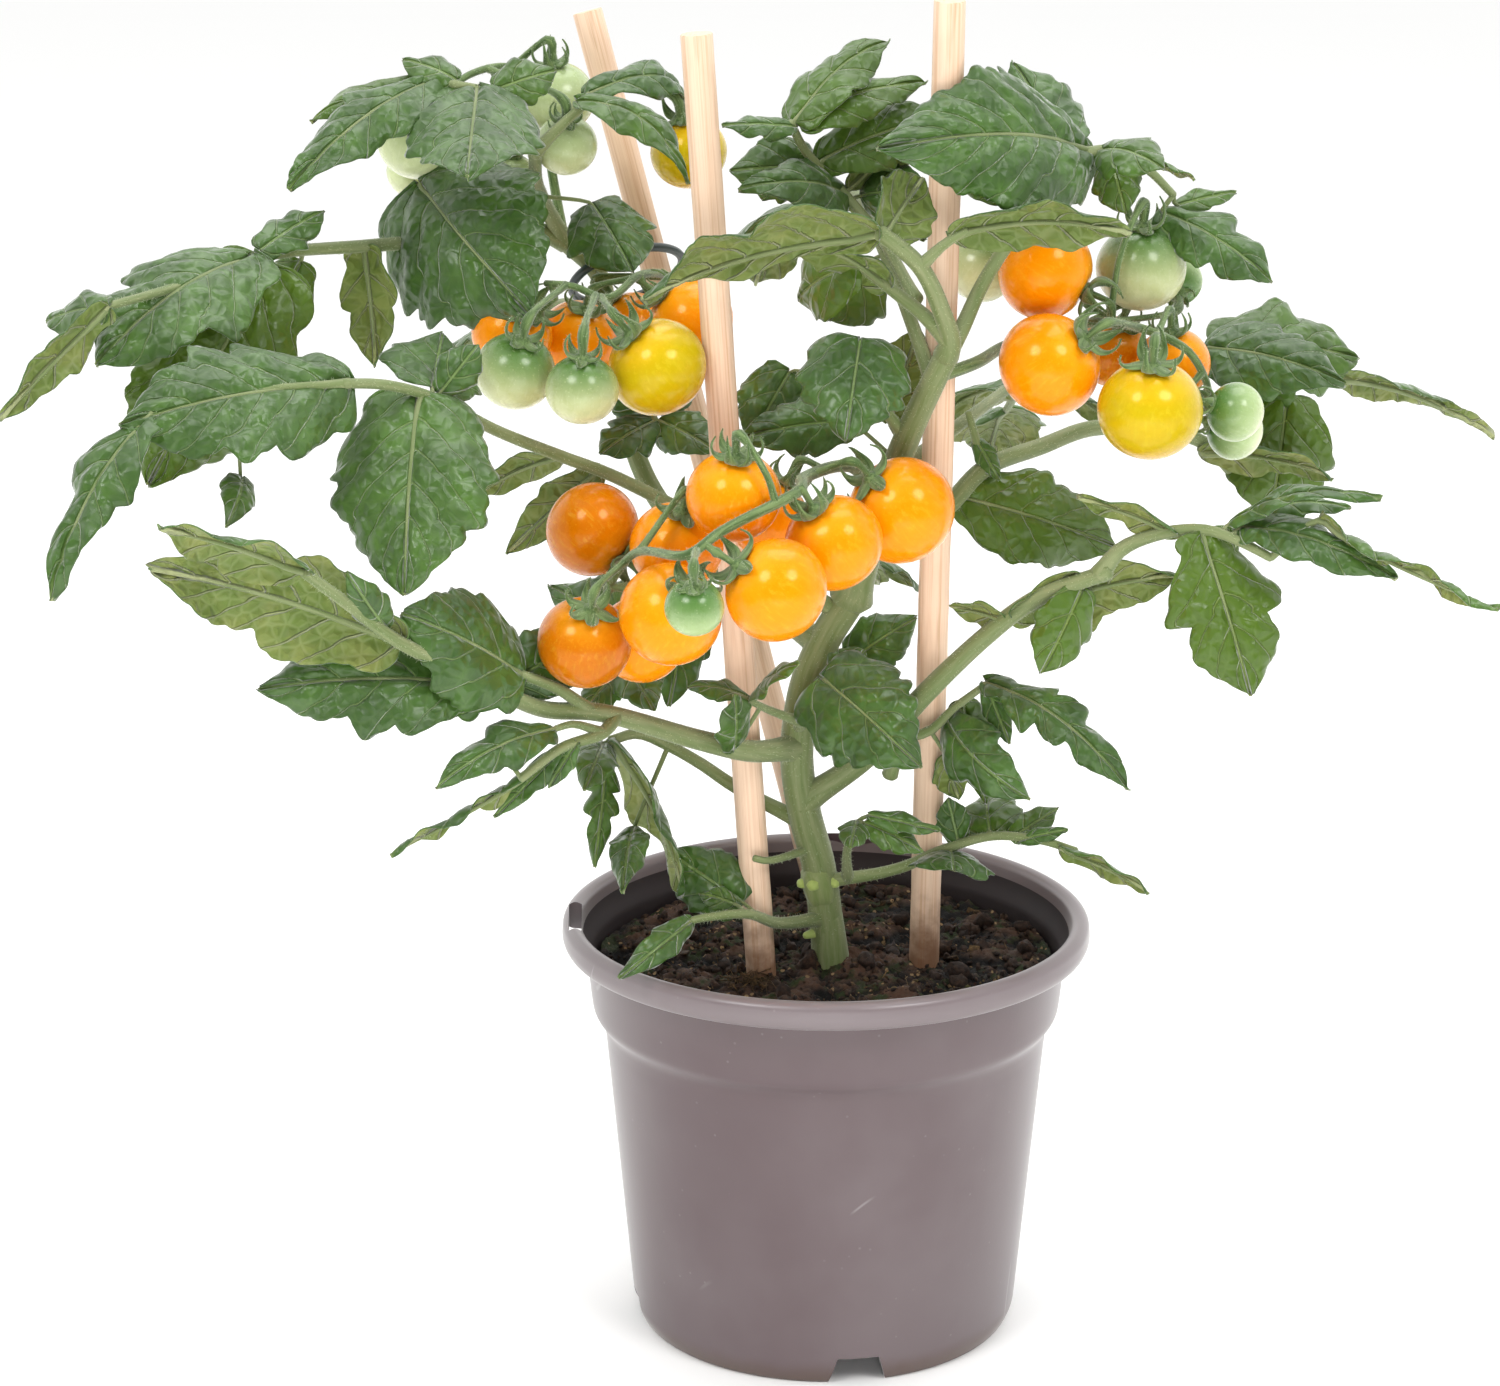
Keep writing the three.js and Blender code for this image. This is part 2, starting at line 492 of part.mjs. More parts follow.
// A stem along a smooth route, thinning from one radius to the other
function tube(route, [first, last], sides = 5, grow = 0, steps = 0) {
  const { curve, points, count } = bends(route, steps);
  const thread = 0.1;
  const section = new THREE.Shape();
  section.setFromPoints(
    Array.from({ length: sides }, (_, side) => {
      const angle = (side * 2 * Math.PI) / sides;
      return new THREE.Vector2(thread * Math.cos(angle), thread * Math.sin(angle));
    }),
  );
  const sweep = { steps: count, extrudePath: curve, bevelEnabled: false };
  const geometry = new THREE.ExtrudeGeometry(section, sweep);
  const position = geometry.attributes.position;
  const place = new THREE.Vector3();
  for (let i = 0; i < position.count; i += 1) {
    place.fromBufferAttribute(position, i);
    const gaps = points.map((point) => point.distanceTo(place));
    const nearest = gaps.indexOf(Math.min(...gaps));
    const radius = THREE.MathUtils.lerp(first, last, nearest / count) + grow;
    place.sub(points[nearest]).multiplyScalar(radius / thread).add(points[nearest]);
    if (nearest === 0) place.addScaledVector(curve.getTangent(0), -grow);
    if (nearest === count) place.addScaledVector(curve.getTangent(1), grow);
    position.setXYZ(i, place.x, place.y, place.z);
  }
  return solidFrom(geometry);
}

// The point on some stems that is nearest to a place
function nearestOn(stems, target) {
  const found = new THREE.Vector3();
  let best = null;
  for (const { points } of stems) {
    for (let i = 1; i < points.length; i += 1) {
      new THREE.Line3(points[i - 1], points[i]).closestPointToPoint(target, true, found);
      if (!best || found.distanceTo(target) < best.distanceTo(target)) best = found.clone();
    }
  }
  return best;
}

function lathed(profile) {
  const outline = profile.map(([radius, height]) => new THREE.Vector2(radius, height));
  const geometry = new THREE.LatheGeometry(outline, POT_SIDES);
  geometry.rotateX(Math.PI / 2);
  return geometry;
}

// A box on the pot's wall, turned round the axis to a bearing
function wallBox(width, depth, height, radius, level, bearing, taper = 1) {
  const geometry = new THREE.BoxGeometry(width, depth, height);
  const position = geometry.attributes.position;
  for (let i = 0; i < position.count; i += 1) {
    if (position.getZ(i) > 0) position.setX(i, position.getX(i) * taper);
  }
  geometry.translate(0, -radius, level);
  geometry.rotateZ(THREE.MathUtils.degToRad(bearing));
  return solidFrom(geometry);
}

function makePot() {
  let pot = solidFrom(lathed(POT_PROFILE));
  for (let i = 0; i < FOOT_NOTCH.count; i += 1) {
    const bearing = FOOT_NOTCH.first + (i * 360) / FOOT_NOTCH.count;
    const { bottom, top, height, depth, circle } = FOOT_NOTCH;
    pot = pot.subtract(wallBox(bottom, depth, 2 * height, circle, 0, bearing, top / bottom));
  }
  for (let i = 0; i <= DRAIN_HOLE.count; i += 1) {
    const { radius, depth } = DRAIN_HOLE;
    const hole = new THREE.CylinderGeometry(radius, radius, depth, 8);
    hole.rotateX(Math.PI / 2);
    const turn = (i * 2 * Math.PI) / DRAIN_HOLE.count + Math.PI / 4;
    const circle = i < DRAIN_HOLE.count ? DRAIN_HOLE.circle : 0;
    hole.translate(circle * Math.cos(turn), circle * Math.sin(turn), FLOOR_HEIGHT);
    pot = pot.subtract(solidFrom(hole));
  }
  for (const bearing of HANGER_SLOT.bearings) {
    const { length, width, height, circle, middle } = HANGER_SLOT;
    pot = pot.subtract(wallBox(length, width, height, circle, middle, bearing));
  }
  return pot;
}

function makeSoil() {
  const geometry = lathed(SOIL_PROFILE);
  const position = geometry.attributes.position;
  const draws = seededDraws(11);
  const bumps = new Map();
  for (let i = 0; i < position.count; i += 1) {
    const radius = Math.hypot(position.getX(i), position.getY(i));
    if (position.getZ(i) > SOIL_LEVEL - 0.5 && radius < SOIL_SMOOTH_RIM) {
      const spot = `${position.getX(i).toFixed(1)},${position.getY(i).toFixed(1)}`.replaceAll("-0.0", "0.0");
      if (!bumps.has(spot)) bumps.set(spot, (draws() - 0.5) * SOIL_ROUGHNESS);
      position.setZ(i, SOIL_LEVEL + bumps.get(spot));
    }
  }
  return solidFrom(geometry);
}

function makeStake([foot, top], grow = 0) {
  const down = vector(foot).sub(vector(top)).normalize();
  const bottom = vector(foot).addScaledVector(down, STAKE_DEPTH);
  return tube([bottom, vector(top)], [STAKE_RADIUS, STAKE_RADIUS], 8, grow, 1);
}

function makeClip(grow = 0) {
  const { centre, halfLength, halfWidth, wire, turn, tilt } = CLIP;
  const radius = 10;
  const geometry = new THREE.TorusGeometry(radius, wire + grow, 5, 12);
  const position = geometry.attributes.position;
  for (let i = 0; i < position.count; i += 1) {
    const angle = Math.atan2(position.getY(i), position.getX(i));
    position.setX(i, position.getX(i) + (halfLength - radius) * Math.cos(angle));
    position.setY(i, position.getY(i) + (halfWidth - radius) * Math.sin(angle));
  }
  geometry.rotateX(THREE.MathUtils.degToRad(tilt));
  geometry.rotateZ(THREE.MathUtils.degToRad(turn));
  geometry.translate(...centre);
  return solidFrom(geometry);
}

function makeFruit([centre, radius, stalkEnd], grow = 0) {
  const geometry = new THREE.SphereGeometry(radius + grow, radius > 9 ? 9 : 8, radius > 9 ? 5 : 4);
  geometry.rotateX(Math.PI / 2);
  geometry.scale(1, 1, FRUIT_FLATNESS);
  geometry.applyQuaternion(towards(stalkEnd));
  geometry.translate(...centre);
  return solidFrom(geometry);
}

// The green star on a fruit's stalk end, bent over the fruit with its tips lifted
function makeCalyx([centre, radius, stalkEnd], roll, grow = 0) {
  const star = new THREE.Shape();
  const corners = CALYX.sepals * 2;
  star.setFromPoints(
    Array.from({ length: corners }, (_, corner) => {
      const reach = radius * (corner % 2 ? CALYX.waist : CALYX.reach) + grow;
      const angle = (corner * 2 * Math.PI) / corners + roll;
      return new THREE.Vector2(reach * Math.cos(angle), reach * Math.sin(angle));
    }),
  );
  const thickness = CALYX.thickness + 2 * grow;
  const geometry = new THREE.ExtrudeGeometry(star, { depth: thickness, bevelEnabled: false });
  const position = geometry.attributes.position;
  for (let i = 0; i < position.count; i += 1) {
    const x = position.getX(i);
    const y = position.getY(i);
    const reach = Math.hypot(x, y);
    const angle = reach / radius;
    const lift = 0.9 + CALYX.lift * (reach / (radius * CALYX.reach)) ** 2 + position.getZ(i) - grow;
    const height = radius * FRUIT_FLATNESS + lift;
    const out = ((radius + lift) * Math.sin(angle)) / reach;
    position.setXYZ(i, x * out, y * out, height * Math.cos(angle));
  }
  geometry.applyQuaternion(towards(stalkEnd));
  geometry.translate(...centre);
  return solidFrom(geometry);
}

// From the main stalk round the fruit's side, where it is in the way, to its stalk end
function fruitStalk(joint, [centre, radius, stalkEnd], grow) {
  const out = direction(stalkEnd);
  const middle = vector(centre);
  const crown = middle.clone().addScaledVector(out, radius * FRUIT_FLATNESS + FRUIT_STALK.radius);
  const knuckle = middle.clone().addScaledVector(out, radius + FRUIT_STALK.knuckle);
  const route = [joint, knuckle, crown];
  const closest = new THREE.Line3(joint, knuckle).closestPointToPoint(middle, true, new THREE.Vector3());
  const away = closest.clone().sub(middle);
  if (away.length() < radius + 2 && away.length() > 0) {
    route.splice(1, 0, middle.clone().add(away.setLength(radius + FRUIT_STALK.room)));
  }
  const points = route.map((point) => point.toArray());
  const radii = [FRUIT_STALK.radius, FRUIT_STALK.radius];
  return tube(points, radii, 3, grow, route.length === 4 ? 4 : 2);
}

function makeTruss(name, grow = 0) {
  const { route, radii } = TRUSSES[name];
  const stem = bends(route);
  const draws = seededDraws(name.length);
  const solids = [tube(route, radii, 5, grow)];
  for (const fruit of FRUITS[name]) {
    const [centre, radius, stalkEnd] = fruit;
    const knuckle = vector(centre).addScaledVector(direction(stalkEnd), radius + FRUIT_STALK.knuckle);
    solids.push(fruitStalk(nearestOn([stem], knuckle), fruit, grow));
    solids.push(makeCalyx(fruit, draws() * Math.PI, grow));
  }
  return wasm.Manifold.union(solids);
}

// Share of a blade's full half width that is left at a place along its rib
function toothShare(along, teeth, depth) {
  const pitch = (TEETH_TO - TEETH_FROM) / Math.max(teeth, 1);
  const count = (along - TEETH_FROM) / pitch;
  if (teeth === 0 || count < -(1 - TOOTH_PEAK) || count > teeth - 1 + TOOTH_PEAK) return 1;
  const part = count - Math.floor(count);
  const fill = part < TOOTH_PEAK ? part / TOOTH_PEAK : (1 - part) / (1 - TOOTH_PEAK);
  return 1 - depth * (1 - fill);
}

// Places along the rib at which the outline turns
function bladeStations(teeth, length) {
  if (teeth === 0) return length < TINY_BLADE ? [0, 0.42, 1] : [0, 0.35, 0.7, 1];
  const pitch = (TEETH_TO - TEETH_FROM) / teeth;
  const stations = [0];
  for (let tooth = 0; tooth < teeth; tooth += 1) {
    stations.push(TEETH_FROM + tooth * pitch, TEETH_FROM + (tooth + TOOTH_PEAK) * pitch);
  }
  stations.push(1);
  return stations;
}

function halfWidth(along, widest) {
  const power = Math.log(0.5) / Math.log(widest);
  const round = Math.max(Math.sin(Math.PI * along ** power), 0) ** 0.75;
  return (round * (1 - 0.35 * along ** 2)) / (1 - 0.35 * widest ** 2);
}

// The rib's curve and the blade's sideways direction
function bladeFrame([base, tip, facing, , , arch]) {
  const from = vector(base);
  const to = vector(tip);
  const length = from.distanceTo(to);
  const chord = to.clone().sub(from).normalize();
  const up = facing.isVector3 ? facing.clone() : direction(facing);
  up.addScaledVector(chord, -up.dot(chord)).normalize();
  const crest = from.clone().add(to).multiplyScalar(0.5).addScaledVector(up, 2 * arch * length);
  return { rib: new THREE.QuadraticBezierCurve3(from, crest, to), side: chord.clone().cross(up), length };
}

// A thin, folded, toothed blade: a box whose rows follow the outline, split alike on both faces. Its first
// row starts inside the stalk at the joint.
function makeBlade(blade, joint, grow = 0) {
  const { depth, fold, widest, right = 1 } = OUTLINES[blade[4]];
  const { rib, side, length } = bladeFrame(blade);
  const teeth = length < SMALL_BLADE ? 0 : OUTLINES[blade[4]].teeth;
  const stations = bladeStations(teeth, length);
  const toStalk = new THREE.Quaternion();
  const seat = rib.getPoint(0).sub(joint);
  if (seat.length() > LONGEST_SEAT) {
    stations.unshift(0);
    toStalk.setFromUnitVectors(rib.getTangent(0), seat.normalize());
  }
  const turns = [toStalk, toStalk.clone().slerp(new THREE.Quaternion(), 0.5)];
  const rows = stations.length - 1;
  const geometry = new THREE.BoxGeometry(2, 2, 2, teeth > 0 && depth > 0.2 ? 2 : 1, rows, 1);
  const { start, count } = geometry.groups[5];
  const index = geometry.index.array;
  for (let i = start; i < start + count; i += 6) {
    const [a, b, d, , c] = index.slice(i, i + 6);
    index.set([a, b, c, a, c, d], i);
  }
  const drop = THREE.MathUtils.degToRad(fold);
  const position = geometry.attributes.position;
  for (let i = 0; i < position.count; i += 1) {
    const across = position.getX(i);
    const row = Math.round(((position.getY(i) + 1) / 2) * rows);
    const along = stations[row];
    const turn = turns[row] ?? new THREE.Quaternion();
    const forward = rib.getTangent(along).applyQuaternion(turn);
    const sideways = side.clone().applyQuaternion(turn);
    const normal = sideways.clone().cross(forward).normalize();
    const full = 0.5 * blade[3] * length * halfWidth(along, widest) * toothShare(along, teeth, depth);
    const half = Math.max(across > 0 ? right * full : full, along < 1 ? PETIOLULE_RADIUS : 0.4) + grow;
    const shear = along < 0.25 ? -0.5 + 3 * along : 0.25 + (along - 0.25) * 0.13;
    const place = row === 0 ? joint.clone() : rib.getPoint(along);
    if (row === rows) place.addScaledVector(forward, grow);
    place.addScaledVector(sideways, across * half * Math.cos(drop));
    if (along > 0) place.addScaledVector(forward, Math.abs(across) * half * shear);
    place.addScaledVector(normal, -Math.abs(across) * half * Math.sin(drop));
    const thickness = along > 0 ? BLADE_THICKNESS : 2 * PETIOLULE_RADIUS;
    place.addScaledVector(normal, position.getZ(i) * (thickness / 2 + grow));
    position.setXYZ(i, place.x, place.y, place.z);
  }
  return solidFrom(geometry);
}

// Pairs of blades down a stalk and one at its end, turned and sized by seeded draws
function compoundLeaf({ route, size }, seed) {
  const draws = seededDraws(seed);
  const curve = new THREE.CatmullRomCurve3(route.map(vector));
  const kinds = ["broad", "lobed", "broad"];
  const blades = [];
  const place = (along, spread, scale) => {
    const base = curve.getPointAt(along);
    const forward = curve.getTangentAt(along).setZ(0).normalize();
    const side = new THREE.Vector3(forward.y, -forward.x, 0).multiplyScalar(spread);
    const reach = size * scale * (0.9 + 0.2 * draws());
    const heading = forward.clone().multiplyScalar(spread ? 0.5 : 0.9).addScaledVector(side, 0.85);
    heading.z = -0.35 - 0.3 * draws();
    const tip = base.clone().addScaledVector(heading.normalize(), reach);
    const up = new THREE.Vector3(side.x * 0.3, side.y * 0.3, 1).addScaledVector(forward, 0.5);
    blades.push([base.toArray(), tip.toArray(), up, 0.66, kinds[blades.length % 3], 0.1]);
  };
  place(0.62, 1, 0.8);
  place(0.74, -1, 0.85);
  place(1, 0, 1);
  return blades;
}

// Stalks and blades joined to one solid. Side stalks and blades start inside the stalk nearest to them.
function makeLeaf({ stalks, blades }, grow = 0) {
  const stems = [];
  const solids = [];
  for (const [first, last, route] of stalks) {
    const start = vector(route[0]);
    const joint = stems.length > 0 ? nearestOn(stems, start) : start;
    const from = joint.distanceTo(start) < 8 ? joint.toArray() : route[0];
    const snapped = [from, ...route.slice(1)];
    stems.push(bends(snapped));
    solids.push(tube(snapped, [first, last], first > 1.7 ? 5 : 4, grow));
  }
  for (const blade of blades) solids.push(makeBlade(blade, nearestOn(stems, vector(blade[0])), grow));
  return wasm.Manifold.union(solids);
}

// The main stem with its branches, the small inner leaves and the leaves at the back
function makeStem(grow = 0) {
  const stalks = Object.values(STEMS).map(({ route, radii }) => [...radii, route]);
  const blades = [];
  for (const leaf of Object.values(STEM_LEAVES)) {
    stalks.push(...leaf.stalks);
    blades.push(...leaf.blades);
  }
  BACK_LEAVES.forEach((leaf, seed) => {
    stalks.push([...leaf.radii, leaf.route]);
    blades.push(...compoundLeaf(leaf, seed + 1));
  });
  return makeLeaf({ stalks, blades }, grow);
}

// The piece without what its neighbours take up. A scrap that the cut leaves loose is dropped.
function clearOf(solid, neighbours) {
  const cut = wasm.Manifold.difference([solid, ...neighbours]);
  return cut.decompose().sort((a, b) => b.volume() - a.volume())[0];
}

const plant = new THREE.Group();
const grownSolids = []; // every placed piece that leaves have to stay clear of, GAP larger all round

function addPiece(name, solid, finish) {
  const [colour, roughness] = COLOURS[finish];
  const mesh = new THREE.Mesh(
    geometryFrom(solid),
    new THREE.MeshStandardMaterial({ color: colour, roughness, metalness: 0 }),
  );
  mesh.name = name;
  plant.add(mesh);
}

const stemWithRoom = makeStem(GAP);
const stakesWithRoom = Object.values(STAKES).map((stake) => makeStake(stake, GAP));

addPiece("pot", makePot(), "pot");
addPiece("soil", clearOf(makeSoil(), [stemWithRoom, ...stakesWithRoom]), "soil");
for (const [name, stake] of Object.entries(STAKES)) addPiece(name, makeStake(stake), "bamboo");
addPiece("clip", makeClip(), "clip");
addPiece("stem", clearOf(makeStem(), stakesWithRoom), "stem");
grownSolids.push(solidFrom(lathed(POT_PROFILE)), stemWithRoom, ...stakesWithRoom, makeClip(GAP));

const fruitsWithRoom = [];
for (const [truss, fruits] of Object.entries(FRUITS)) {
  fruits.forEach((fruit, i) => {
    addPiece(`${truss.replace("truss", "tomato")}_${i + 1}`, makeFruit(fruit), fruit[3]);
    fruitsWithRoom.push(makeFruit(fruit, GAP));
  });
}
grownSolids.push(...fruitsWithRoom);
for (const truss of Object.keys(TRUSSES)) {
  addPiece(truss, clearOf(makeTruss(truss), grownSolids), "stem");
}
for (const truss of Object.keys(TRUSSES)) grownSolids.push(makeTruss(truss, GAP));
for (const leaf of Object.keys(LEAVES)) {
  addPiece(`leaf_${leaf}`, clearOf(makeLeaf(LEAVES[leaf]), grownSolids), "leaf");
  grownSolids.push(makeLeaf(LEAVES[leaf], GAP));
}

export default plant;
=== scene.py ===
"""A cherry tomato plant in its nursery pot, dressed over the packed model of the same plant.

Every table is in millimetres, in the frame of the packed model: +Z up, the origin on the pot's axis at
the level of its foot, and -Y the front. Finished pieces are in metres.
"""

import math
import random

import bmesh
import bpy
import numpy as np
from bpy.props import FloatProperty
from bpy.props import FloatVectorProperty
from bpy.props import IntProperty
from bpy.props import PointerProperty
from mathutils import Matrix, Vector
from mathutils import noise


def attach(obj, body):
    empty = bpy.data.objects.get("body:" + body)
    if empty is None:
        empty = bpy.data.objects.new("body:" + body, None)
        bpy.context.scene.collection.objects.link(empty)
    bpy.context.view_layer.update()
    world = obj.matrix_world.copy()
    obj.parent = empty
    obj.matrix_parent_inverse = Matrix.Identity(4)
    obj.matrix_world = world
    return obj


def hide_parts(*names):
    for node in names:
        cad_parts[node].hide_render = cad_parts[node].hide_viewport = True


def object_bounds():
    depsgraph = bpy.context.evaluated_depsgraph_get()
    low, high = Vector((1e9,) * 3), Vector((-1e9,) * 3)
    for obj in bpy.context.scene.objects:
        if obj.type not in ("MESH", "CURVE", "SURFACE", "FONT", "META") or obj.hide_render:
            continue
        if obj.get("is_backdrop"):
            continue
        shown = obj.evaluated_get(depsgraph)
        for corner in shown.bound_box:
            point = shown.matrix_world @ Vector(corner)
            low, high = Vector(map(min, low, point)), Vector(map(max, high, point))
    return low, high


bl_info = {
    "name": "Potted Tomato Plant",
    "version": (1, 0, 0),
    "blender": (4, 5, 0),
    "location": "3D View > Sidebar > Tomato",
    "description": "Builds a fruiting cherry tomato plant in its pot, piece by piece",
    "category": "Add Mesh",
}

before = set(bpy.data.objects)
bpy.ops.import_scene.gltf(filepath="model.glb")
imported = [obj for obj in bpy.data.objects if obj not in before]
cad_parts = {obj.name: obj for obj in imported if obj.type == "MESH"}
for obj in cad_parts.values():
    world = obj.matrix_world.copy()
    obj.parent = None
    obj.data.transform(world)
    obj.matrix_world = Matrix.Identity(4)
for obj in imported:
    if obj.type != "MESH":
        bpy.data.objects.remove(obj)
MODEL_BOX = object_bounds()

MM = 0.001

# ---- Shapes of the plant -------------------------------------------------------------------------------

# Where each stake meets the soil and where it ends
STAKES = {
    "stake_left": [[-17, -16, 99], [-33, -28, 346]],
    "stake_right": [[26, -4, 99], [28, -28, 354]],
    "stake_back": [[0, 48, 99], [-63, 62, 342]],
}
STAKE_DEPTH = 32
CLIP = {
    "centre": [-52.8, 53, 273.5], "half_length": 16.5, "half_width": 12, "wire": 1.2,
    "turn": 34, "tilt": -45, "segments": 64, "sides": 14,
}

# Wood: first and last radius, then the points that each stem passes through
STEMS = [
    [4.6, 4.2, [[2, -4, 70], [1, -5, 99], [-2, -8, 127], [-6, -12, 144], [-8, -15, 160], [-6, -12, 177],
        [-1, -8, 189], [6, -6, 200]]],
    [4.2, 3.0, [[6, -6, 200], [12, -14, 222], [19, -25, 246], [28, -32, 268]]],
    [3.0, 2.4, [[-2, -8, 188], [-17, 6, 196], [-36, 24, 208], [-49, 38, 224], [-57, 46, 257],
        [-60, 48, 274], [-69, 44, 284]]],
    [1.1, 0.9, [[-4, -10, 133], [-16, -25, 135], [-19, -26, 136]]],
]
TRUSSES = {
    "truss_left": [1.6, 1.0, [[-56, 45, 251], [-41, 27, 275], [-48, -2, 283], [-56, -18, 280],
        [-64, -18, 283], [-71, -14, 283]]],
    "truss_front": [2.0, 1.1, [[13, -15, 224], [6, -28, 239], [-7, -52, 242], [-9, -72, 243],
        [-27, -87, 237], [-34, -92, 233], [-48, -68, 227], [-55, -60, 216]]],
    "truss_right": [2.0, 1.1, [[27, -30, 262], [36, -20, 264], [46, 0, 265], [59, 4, 268], [68, -8, 272],
        [79, -19, 272], [89, -20, 267], [94, -17, 259], [95, -14, 256]]],
    "truss_top": [1.6, 1.0, [[-70, 43, 286], [-72, 50, 299], [-74, 50, 313], [-76, 44, 326], [-83, 34, 331],
        [-92, 24, 330], [-99, 18, 325]]],
}
# Fruits of each truss: centre, radius, [bearing, rise] of the stalk end and ripeness, where amber
# is a ripe fruit painted a darker orange as painted shade. A bearing of 0 looks to the front and 90 to the
# right.
FRUITS = {
    "truss_left": [
        [[-80, -8, 269], 10.5, [60, 40], "orange"],
        [[-78, -30, 264], 10, [30, 62], "green"],
        [[-61, -43, 262], 9, [10, 75], "green"],
        [[-43, -30, 265], 12.4, [-60, 50], "yellow"],
        [[-64, 6, 265], 10.5, [30, 60], "orange"],
        [[-51, 23, 264], 10.5, [-80, 55], "orange"],
        [[-35, 0, 271], 11, [-80, 40], "orange"],
    ],
    "truss_front": [
        [[-59, -39, 226], 12, [60, -35], "amber"],
        [[-38, -53, 225], 11.5, [20, 65], "orange"],
        [[-24, -67, 241], 11.5, [10, 70], "orange"],
        [[-16, -38, 229], 10.5, [90, 60], "orange"],
        [[0, -65, 229], 12, [-50, 55], "orange"],
        [[17, -44, 232], 13.5, [-60, 45], "orange"],
        [[-14, -87, 223], 12.5, [-70, 35], "orange"],
        [[-39, -79, 215], 12.5, [30, 40], "orange"],
        [[-47, -47, 200], 11, [20, 50], "orange"],
        [[-60, -68, 205], 11.5, [20, 60], "amber"],
        [[-33, -103, 223], 7, [0, 60], "green"],
    ],
    "truss_right": [
        [[54, -7, 285], 12.5, [75, -25], "orange"],
        [[54, -27, 265], 13, [60, 38], "orange"],
        [[78, -38, 256], 13, [0, 72], "yellow"],
        [[73, 11, 261], 9.5, [20, 60], "amber"],
        [[87, -5, 261], 9.5, [-20, 70], "orange"],
        [[101, -22, 252], 7.5, [-80, 20], "green"],
        [[103, -7, 244], 7.5, [-90, 20], "green"],
        [[79, 3, 284], 11.5, [0, 80], "green"],
        [[90, 18, 278], 6.5, [-5, -25], "green"],
        [[39, 15, 282], 9.3, [90, 60], "green"],
    ],
    "truss_top": [
        [[-105, 18, 314], 10.2, [40, 70], "pale"],
        [[-82, 28, 303], 7, [30, 75], "pale"],
        [[-70, 34, 323], 9.8, [-20, 75], "pale"],
        [[-67, 18, 313], 8, [0, 60], "pale"],
        [[-36, 34, 309], 10, [-40, 70], "yellow"],
        [[-107, 33, 304], 7.5, [60, 70], "pale"],
    ],
}
